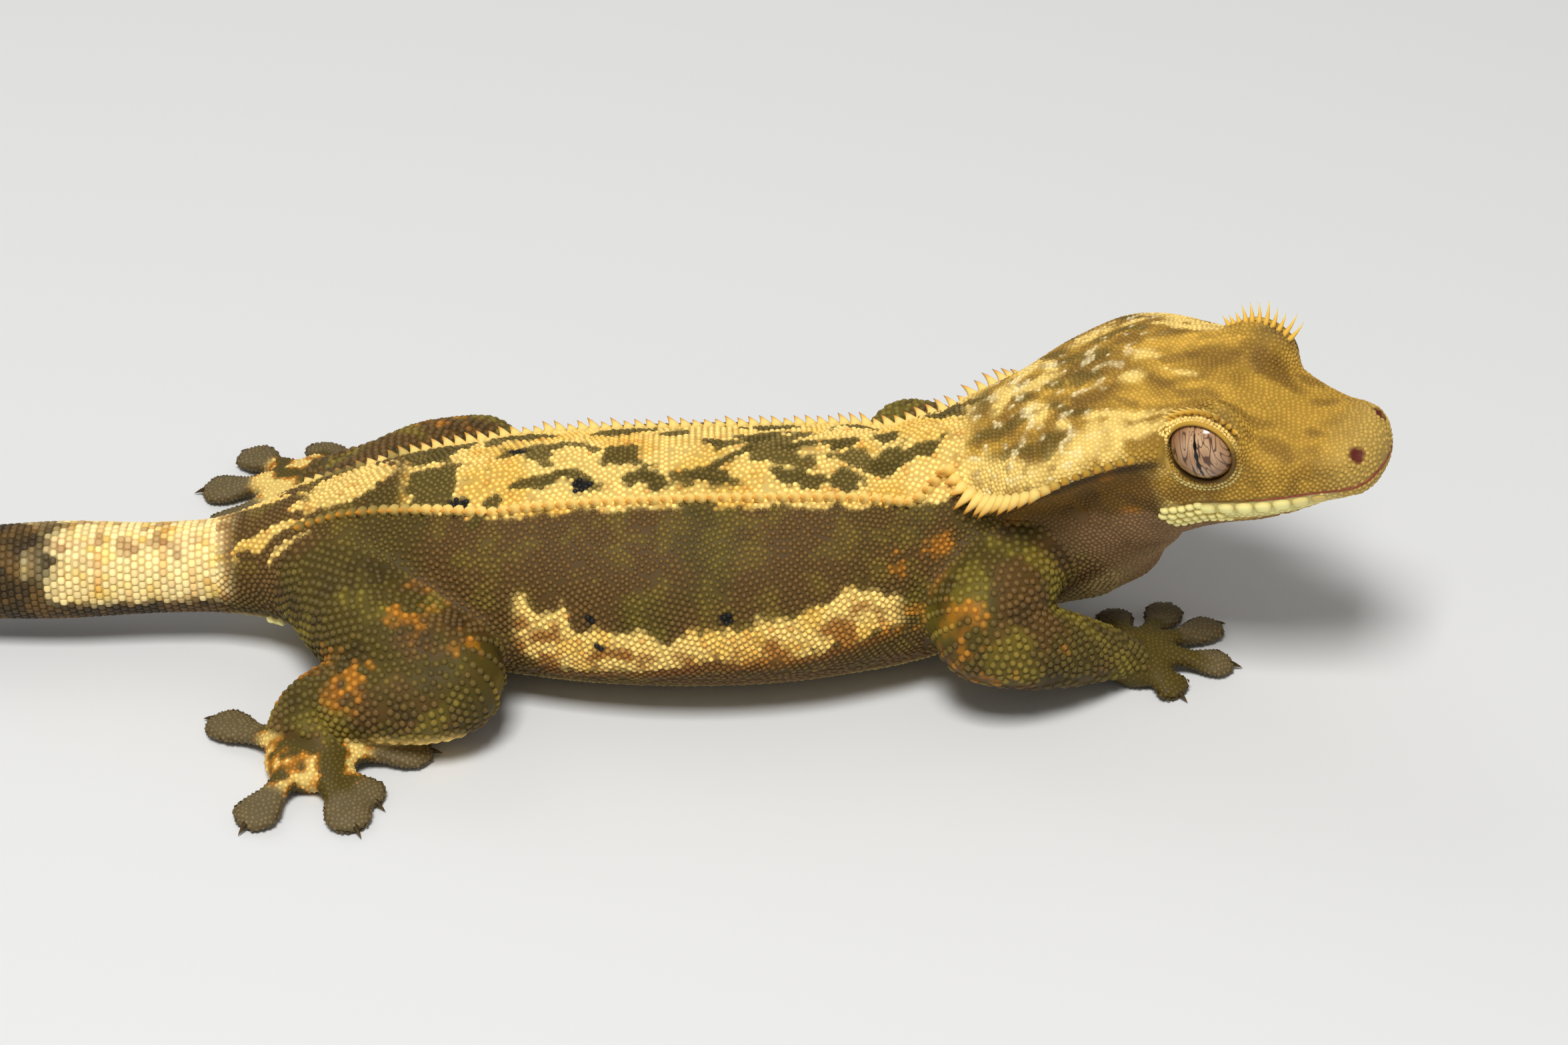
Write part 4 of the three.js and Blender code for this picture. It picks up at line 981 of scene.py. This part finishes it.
# A path round the muzzle at a height off the mouth's line: along one side, round the front and back
def lipPath(offset, fromX, pitch, front=24.0):
    x = np.linspace(fromX, front, 60)
    turn = np.linspace(np.pi / 2, -np.pi / 2, 61)[1:-1]
    one, zero = np.ones(len(x)), np.zeros(len(x))
    starts = np.concatenate([np.stack([x, zero, zero], -1), np.tile([front, 0.0, 0], (len(turn), 1)),
                             np.stack([x[::-1], zero, zero], -1)])
    fan = np.stack([np.cos(turn), np.sin(turn), 0 * turn], -1)
    ways = np.concatenate([np.stack([zero, one, zero], -1), fan, np.stack([zero, -one, zero], -1)])
    starts[:, 2] = interpolate(head["mouth"], starts[:, 0] + 5.0 * ways[:, 0]) + offset
    p = outermost(fromHead(starts), ways @ headTurn.T)
    run = np.concatenate([[0], np.cumsum(np.linalg.norm(np.diff(p, axis=0), axis=1))])
    spots = np.linspace(0, run[-1], int(run[-1] / pitch) + 1)
    p = np.stack([np.interp(spots, run, p[:, k]) for k in range(3)], -1)
    return ontoSkin(p)


# A tube: a ring of a given radius carried along a path, its first axis along the skin's slope
def tubeAlong(path, radius, sides):
    run = unit(np.gradient(path, axis=0))
    out = slopeOf(skinField, path)
    across = unit(np.cross(run, out))
    turn = np.linspace(0, 2 * np.pi, sides, endpoint=False)
    reach = np.broadcast_to(radius, len(path))[:, None, None]
    c, d = np.cos(turn)[None, :, None], np.sin(turn)[None, :, None]
    rings = path[:, None] + reach * (out[:, None] * c + across[:, None] * d)
    ends = np.stack([np.broadcast_to(path[0], rings[0].shape), np.broadcast_to(path[-1], rings[0].shape)])
    return np.concatenate([ends[:1], rings, ends[1:]]), gridFaces(len(path) + 2, sides)


# Rows of lip scales: height off the mouth's line, first and last x, pitch, half length and half height, and
# how far each scale stands out
lips = [
    dict(offset=-0.85, start=14.6, end=25.5, pitch=1.62, size=(0.84, 0.72), height=0.34),
    dict(offset=-0.35, start=10.6, end=14.4, pitch=0.84, size=(0.44, 0.4), height=0.34),
    dict(offset=-1.1, start=10.2, end=14.5, pitch=0.88, size=(0.46, 0.42), height=0.36),
    dict(offset=-1.85, start=10.6, end=15.5, pitch=0.82, size=(0.43, 0.4), height=0.32),
    dict(offset=-2.5, start=10.9, end=16.5, pitch=0.74, size=(0.39, 0.36), height=0.28),
]
for k, lip in enumerate(lips):
    path = lipPath(lip["offset"], lip["start"], lip["pitch"])
    ahead = unit(np.gradient(path, axis=0))
    keep = toHead(path)[:, 0] < lip["end"]
    path, ahead = path[keep], ahead[keep]
    front = ramp(toHead(path)[:, 0], 21, 26)
    uv = np.stack([np.linspace(0.0, 0.39, len(path)), np.full(len(path), 0.84 + 0.015 * k)], -1)
    shade = mix(plain("lip", path), tones["snout"], front)
    # Painted highlight: each lip plate's top is 1.2 times lighter than its colour
    layScales(f"lipScales_{k + 1}", path, ahead, lip["size"], lip["height"] * (1 - 0.6 * front), uv, "plate",
              "jaw_skin", colour=shade, top=shade * 1.2)

# The mouth's line: a thin dark tube on its parting
mouthTube = dict(start=12.6, pitch=0.25, radius=0.09, sunk=0.02, sides=8)
path = lipPath(0.0, mouthTube["start"], mouthTube["pitch"])
sunkPath = path - mouthTube["sunk"] * slopeOf(skinField, path)
points, faces = tubeAlong(sunkPath, mouthTube["radius"], mouthTube["sides"])
shade = mix(plain("brown", path), tones["red"], ramp(toHead(path)[:, 0], 17, 21))
shade = np.repeat(np.concatenate([shade[:1], shade, shade[-1:]]), mouthTube["sides"], axis=0)
mouthLine = makeMesh("mouthLine", points, faces, shade)
mouthLine.data.materials.append(materials["jaw_skin"])
print("mouth line", len(path), "places")


spineShape = dict(rings=[(1.0, -0.35), (0.92, 0.12), (0.6, 0.42), (0.3, 0.74)], sides=8)


# Spines: rings that narrow to a tip, at root + radius * (side cos turn + lean sin turn)
# + height * (out * rise + bend * lean * rise squared), where side is out x lean
def laySpines(name, roots, out, lean, radius, height, colour, tip, slot, bend):
    out = unit(out)
    lean = unit(lean - out * np.sum(lean * out, 1, keepdims=True))
    side = np.cross(out, lean)
    rings, sides = spineShape["rings"], spineShape["sides"]
    turn = 2 * np.pi * np.arange(sides) / sides
    ringed = [np.stack([r * np.cos(turn), r * np.sin(turn), np.full(sides, z)], -1) for r, z in rings]
    shape = np.concatenate(ringed + [[[0.0, 0, 1]]])
    radius = np.broadcast_to(radius, len(roots))[:, None, None]
    height = np.broadcast_to(height, len(roots))[:, None, None]
    rise = np.maximum(shape[:, 2], 0)
    flat = side[:, None] * shape[None, :, :1] + lean[:, None] * shape[None, :, 1:2]
    curve = out[:, None] * shape[None, :, 2:] + bend * lean[:, None] * (rise ** 2)[None, :, None]
    points = roots[:, None] + radius * flat + height * curve
    every = copied(coneFaces(len(rings), sides), len(shape), len(roots))
    blend = ramp(rise, 0.35, 1.0)[None, :, None]
    shades = colour[:, None] * (1 - blend) + tip * blend
    # Painted shade: the sunk ring at each spine's and claw's root is darkened
    shades = np.where(shape[None, :, 2:] < 0, shades * 0.55, shades)
    spread = np.stack([0.01 + 0.38 * np.arange(len(roots)) / len(roots), np.full(len(roots), 0.93)], -1)
    uv = spread[:, None] + bakePatch * shape[None, :, :2]
    piece = makeMesh(name, points, every, shades.reshape(-1, 3), uv.reshape(-1, 2))
    piece.data.materials.append(materials[slot])
    print(name, len(roots), "spines")


# Places a pitch apart along a path, by its running length
def pathSpots(path, pitch):
    run = np.concatenate([[0], np.cumsum(np.linalg.norm(np.diff(path, axis=0), axis=1))])
    spots = np.arange(pitch / 2, run[-1], pitch)
    return np.stack([np.interp(spots, run, path[:, k]) for k in range(3)], -1)


# The crests: along each side of the back, across the nape, round the head's rear corner and on to the brow
headCrest = dict(
    places=[[-8.8, 10.0, -0.6], [-7.3, 10.7, -2.0], [-5.1, 11.6, -2.8], [-2.4, 13.8, -2.0],
            [-0.5, 14.6, -1.3],
            [1.9, 14.0, -0.5], [4.2, 13.2, 0.3], [6.9, 11.6, 0.8], [10.6, 10.2, 1.2]],
    tall=0.85, side=0.72, small=0.45, neckX=24,
)
for side, word in ((-1, "Near"), (1, "Far")):
    x = np.linspace(crest["start"], crest["end"], 240)
    angle = np.radians(crestAngle(x))
    back = ontoSkin(bodyPoint(x, angle if side > 0 else np.pi - angle))
    places = np.array(headCrest["places"]) * (1, side, 1)
    keys = np.linspace(0, 1, len(places))
    edge = along(keys, places, np.linspace(0, 1, 200))
    middle = interpolate([row[:2] for row in head["rows"]], edge[:, 0])
    starts = fromHead(np.stack([edge[:, 0], middle, edge[:, 2]], -1))
    edge = outermost(starts, np.broadcast_to(headTurn @ [0, side, 0], starts.shape))
    bridge = ontoSkin(back[-1] + (edge[0] - back[-1]) * np.linspace(0, 1, 40)[1:-1, None], 6)
    whole = pathSpots(np.concatenate([back, bridge, edge]), crest["pitch"])
    headX = np.where(whole[:, 0] > headCrest["neckX"], toHead(whole)[:, 0], -30)  # -30 for all the back
    big = bell(headX + 3.4, 4.2)
    height = crest["height"] + 0.35 * ramp(whole[:, 0], 12, 24) * (headX < -4)
    height = np.where(headX > 1, headCrest["side"], height) + headCrest["tall"] * big
    height = height + (headCrest["small"] - height) * ramp(headX, 1.5, 4.5)
    height = height * rng.uniform(0.75, 1.25, len(whole)) * (1 - 0.45 * ramp(-whole[:, 0], 22, 34))
    radius = crest["radius"] + 0.04 * big - 0.14 * ramp(headX, 2, 5)
    onHead = ramp(headX, -9, -6)[:, None]
    headWay = headTurn @ [-0.5, 0.9 * side, -0.35]
    outward = np.array([-0.25, 0.8 * side, 0.3]) * (1 - onHead) + headWay * onHead
    out = 0.5 * slopeOf(skinField, whole) + outward
    lean = np.array([-1.0, 0.2 * side, 0]) * (1 - onHead) + (headTurn @ [-0.6, 0, -0.6]) * onHead
    olive = 0.85 * ramp(-whole[:, 0], 22, 26) * ramp(noise(whole, 2, 77), -0.4, 0.2)
    under = mix(plain("cream", whole), tones["olive"], olive)
    under = mix(under, tones["gold"], ramp(headX, 1.5, 4))
    laySpines("crest" + word, whole, out, lean, radius, height, under, tones["orange"], "back_skin",
              crest["bend"])


# A circle round an eye in the head's frame: x + radius cos turn and z + radius sin turn, y off the middle
def roundEye(radius, turn, y, side):
    return np.stack([eye["x"] + radius * np.cos(turn), np.full(len(turn), side * y),
                     eye["z"] + radius * np.sin(turn)], -1)


# Lashes: thin spines on an arc over each eye, longest towards the front
lash = dict(count=13, arc=(28, 152), ring=3.6, out=0.8, radius=0.27, length=1.0, longer=1.1, bend=0.2)
for side, word in ((-1, "Near"), (1, "Far")):
    turn = np.radians(np.linspace(*lash["arc"], lash["count"]))
    roots = ontoSkin(fromHead(roundEye(lash["ring"], turn, eye["y"] + lash["out"], side)), 5)
    away = np.stack([np.cos(turn) * 0.75, np.full(len(turn), side * 0.62), np.sin(turn) * 0.75], -1)
    length = lash["length"] + lash["longer"] * bell(turn - 1.0, 0.8)
    length = length * rng.uniform(0.8, 1.2, lash["count"])
    lean = np.tile(headTurn @ [-1.0, 0, 0.3], (lash["count"], 1))
    laySpines("lashes" + word, roots, away @ headTurn.T, lean, lash["radius"], length, plain("straw", turn),
              tones["cream"], "head_skin", lash["bend"])


# Axes of an eye: z along its gaze, x level and square to it, y square to both
def turnedTo(gaze, side):
    z = unit(np.array([gaze[0], side * gaze[1], gaze[2]]))
    x = unit(np.cross([0.0, 0, 1], z))
    return np.stack([x, np.cross(z, x), z], -1)


# Colour of an eye from its place across and up: dark veins where a bent noise is near 0, a paler ring, a dark
# edge, and a slit whose half width is root of 1 less the square of its share, waved by a sine
def eyeColour(across, up, side):
    tilt = math.radians(eye["tilt"])
    a = across * math.cos(tilt) + up * math.sin(tilt)
    b = up * math.cos(tilt) - across * math.sin(tilt)
    reach = np.hypot(a, b) / eye["radius"]
    q = np.stack([a, 0.28 * b, np.full(len(a), 3.0 * side)], -1)
    warp = 0.5 * np.stack([noise(q, 0.9, 80), noise(q, 0.9, 81), 0 * a], -1)
    vein = np.minimum(np.abs(noise(q + warp, 0.34, 82)) * 1.3, np.abs(noise(q + warp + 9, 0.5, 83)))
    base = mix(plain("iris", a), tones["irisDark"], ramp(noise(q, 1.2, 84), -0.5, 0.6))
    base = mix(base, tones["irisPale"], 0.55 * bell(reach - 0.45, 0.2))
    base = mix(base, tones["vein"], 0.85 * ramp(0.1 - vein, 0, 0.07))
    base = mix(base, tones["eyeEdge"], 0.9 * ramp(reach, 0.82, 0.95))
    long, wide = eye["slit"]
    slit = wide * np.sqrt(np.clip(1 - (b / long) ** 2, 0, 1)) * (1 + 0.3 * np.sin(6.5 * b)) + 0.02
    return mix(base, tones["pupil"], ramp(slit - np.abs(a), -0.03, 0.04) * (np.abs(b) < long))


eyeMaterial = skinMaterial("eyeGloss", 0.14, 0.05)
eyeShader = eyeMaterial.node_tree.nodes["Principled BSDF"]
eyeShader.inputs["Coat Weight"].default_value = 0.35
eyeShader.inputs["Coat Roughness"].default_value = 0.04
ballMesh = dict(front=np.linspace(0.002, 1.35, 150), rear=np.linspace(1.38, np.pi - 0.01, 30), around=160)
rimMesh = dict(around=97, sides=10)
# Rows of beads round each eye: how far out from the rim, and how far apart
eyeBeads = dict(rows=[(0.14, 0.36), (0.46, 0.4),
(0.84, 0.42)], out=0.35, step=0.3, size=(0.55, 0.52), height=0.13)
# Eyes: a ball turned to its gaze, in a rim that is dark below and gold above, and three rows of beads
for side, word in ((1, "left"), (-1, "right")):
    polar = np.concatenate([ballMesh["front"], ballMesh["rear"]])
    count = ballMesh["around"]
    u, v = np.meshgrid(polar, np.linspace(0, 2 * np.pi, count, endpoint=False), indexing="ij")
    flat = eye["radius"] * np.stack([np.sin(u) * np.cos(v), np.sin(u) * np.sin(v), np.cos(u)], -1)
    axes = turnedTo(eye["gaze"], side)
    centre = np.array([eye["x"], side * eye["y"], eye["z"]])
    ball = fromHead(flat.reshape(-1, 3) @ axes.T + centre)
    poles = fromHead(np.array([[0, 0, eye["radius"]], [0, 0, -eye["radius"]]]) @ axes.T + centre)
    shade = eyeColour(flat[..., 0].ravel(), flat[..., 1].ravel(), side)
    shade = np.concatenate([shade, tones["pole"][None], tones["eyeEdge"][None]])
    faces = gridFaces(len(polar), count)
    around = np.arange(count)
    onward = (around + 1) % count
    first, end = count * len(polar), count * (len(polar) - 1)
    triangles = np.concatenate([
        faces[:, [0, 1, 2]], faces[:, [0, 2, 3]], np.stack([np.full(count, first), onward, around], -1),
        np.stack([np.full(count, first + 1), end + around, end + onward], -1)])
    piece = makeMesh("eyeBall" + word.title(), np.concatenate([ball, poles]), triangles, shade)
    piece.data.materials.append(eyeMaterial)
    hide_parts("eye_" + word)
    rim = eye["rim"]
    turn = np.linspace(0, 2 * np.pi, rimMesh["around"])
    path = fromHead(roundEye(rim["radius"], turn, rim["y"], side))
    points, faces = tubeAlong(path, rim["thick"], rimMesh["sides"])
    shade = mix(plain("umber", turn), tones["gold"], ramp(np.sin(turn), -0.2, 0.7))
    shade = np.repeat(np.concatenate([shade[:1], shade, shade[-1:]]), rimMesh["sides"], axis=0)
    ringPiece = makeMesh("eyeRim" + word.title(), points, faces, shade)
    ringPiece.data.materials.append(materials["head_skin"])
    for k, (more, pitch) in enumerate(eyeBeads["rows"]):
        count = int(2 * np.pi * (rim["radius"] + more) / pitch)
        turn = 2 * np.pi * (np.arange(count) + 0.5 * (k % 2)) / count
        local = roundEye(rim["radius"] + more, turn, rim["y"] + eyeBeads["out"] - eyeBeads["step"] * k, side)
        roots = ontoSkin(fromHead(local), 4)
        ahead = np.stack([-np.sin(turn), 0 * turn, np.cos(turn)], -1) @ headTurn.T
        shade = mix(plain("cream", turn), tones["ochre"], ramp(0.6 - np.sin(turn), 0, 0.8))
        shade = mix(shade, tones["lip"], 0.6 * ramp(-np.sin(turn), 0.3, 0.8) * (k > 0))
        uv = np.stack([0.42 + 0.1 * turn / 7 + 0.12 * (side > 0), np.full(count, 0.84 + 0.02 * k)], -1)
        size = (pitch * eyeBeads["size"][0], pitch * eyeBeads["size"][1])
        layScales(f"eyeBeads{word.title()}_{k + 1}", roots, ahead, size, eyeBeads["height"], uv, "dome",
                  "head_skin", colour=shade, contrast=0.5)
    print("eye", word, len(ball), "points")

# A few pale knobs beside the tail's base
knob = dict(starts=np.array([[-36.3, 0, 6.0], [-37.3, 0, 5.8],
[-36.8, 0, 5.2]]), down=-0.35, size=(0.5, 0.5),
            height=0.6, uv=np.array([[0.9, 0.6], [0.91, 0.6], [0.92, 0.6]]))
for side, word in ((-1, "Near"), (1, "Far")):
    count = len(knob["starts"])
    knobs = outermost(knob["starts"], np.tile(unit(np.array([0, side, knob["down"]])), (count, 1)))
    layScales("knobs" + word, knobs, np.tile([1.0, 0, 0], (count, 1)), knob["size"], knob["height"],
              knob["uv"], "plate", "hip_skin", colour=plain("lip", knobs))

# Claws: a short curved cone under each toe's tip
claw = dict(high=0.75, inward=0.3, down=-0.2, radius=0.3, length=1.3, bend=0.25)
clawRoots, clawOut = [], []
for paw in paws.values():
    for tip in paw["tips"]:
        run = unit(np.array([tip[0] - paw["palm"][0], tip[1] - paw["palm"][1], 0.0]))
        clawRoots.append(np.array([*tip, claw["high"]]) - claw["inward"] * run)
        clawOut.append(run + (0, 0, claw["down"]))
laySpines("claws", np.array(clawRoots), np.array(clawOut), np.tile([0.0, 0, -1], (len(clawRoots), 1)),
          claw["radius"], claw["length"], plain("bark", clawRoots), tones["umber"], "toe_skin", claw["bend"])

# Floor, lights and camera: a long lens looks down from the animal's right side. Places are in metres, and the
# camera's distance and target in millimetres
camera = dict(elevation=35, distance=423, lens=100, sensor=36, target=(10, 18, 0))
room = dict(size=6, paper=(0.7, 0.7, 0.69, 1), roughness=0.9, glow=0.27)
lights = dict(
    softBox=dict(place=(-0.07, -0.36, 0.79), power=7.0, size=0.26),
    fill=dict(place=(-0.4, 0.5, 0.5), power=0.8, size=0.5),
)


# The studio: a sheet of pale paper, two square lights that face the middle, and the camera at
# target + distance * (0, -cos, sin) of its elevation
def studio():
    scene = bpy.context.scene
    bpy.ops.mesh.primitive_plane_add(size=room["size"], location=(0, 0, 0))
    floor = bpy.context.object
    floor.name = "floor"
    paper = bpy.data.materials.new("palePaper")
    paper.use_nodes = True
    shader = paper.node_tree.nodes["Principled BSDF"]
    shader.inputs["Base Color"].default_value = room["paper"]
    shader.inputs["Roughness"].default_value = room["roughness"]
    floor.data.materials.append(paper)
    world = bpy.data.worlds.new("softRoom")
    scene.world = world
    world.use_nodes = True
    backdrop = world.node_tree.nodes["Background"]
    backdrop.inputs["Color"].default_value = (1, 1, 1, 1)
    backdrop.inputs["Strength"].default_value = room["glow"]
    scene.view_settings.view_transform = "Standard"
    for name, given in lights.items():
        light = bpy.data.lights.new(name, "AREA")
        light.energy = given["power"]
        light.size = given["size"]
        lamp = bpy.data.objects.new(name, light)
        scene.collection.objects.link(lamp)
        lamp.location = given["place"]
        lamp.rotation_euler = (Vector((0, 0, 0)) - Vector(given["place"])).to_track_quat("-Z", "Y").to_euler()
    view = bpy.data.cameras.new("view")
    view.lens = camera["lens"]
    view.sensor_width = camera["sensor"]
    view.clip_start = 0.01
    eyePoint = bpy.data.objects.new("view", view)
    scene.collection.objects.link(eyePoint)
    rise = math.radians(camera["elevation"])
    target = Vector(camera["target"]) * millimetre
    back = Vector((0, -math.cos(rise), math.sin(rise))) * camera["distance"] * millimetre
    eyePoint.location = target + back
    eyePoint.rotation_euler = (-back).to_track_quat("-Z", "Y").to_euler()
    scene.camera = eyePoint
    print("studio", len(lights), "lights")


studio()
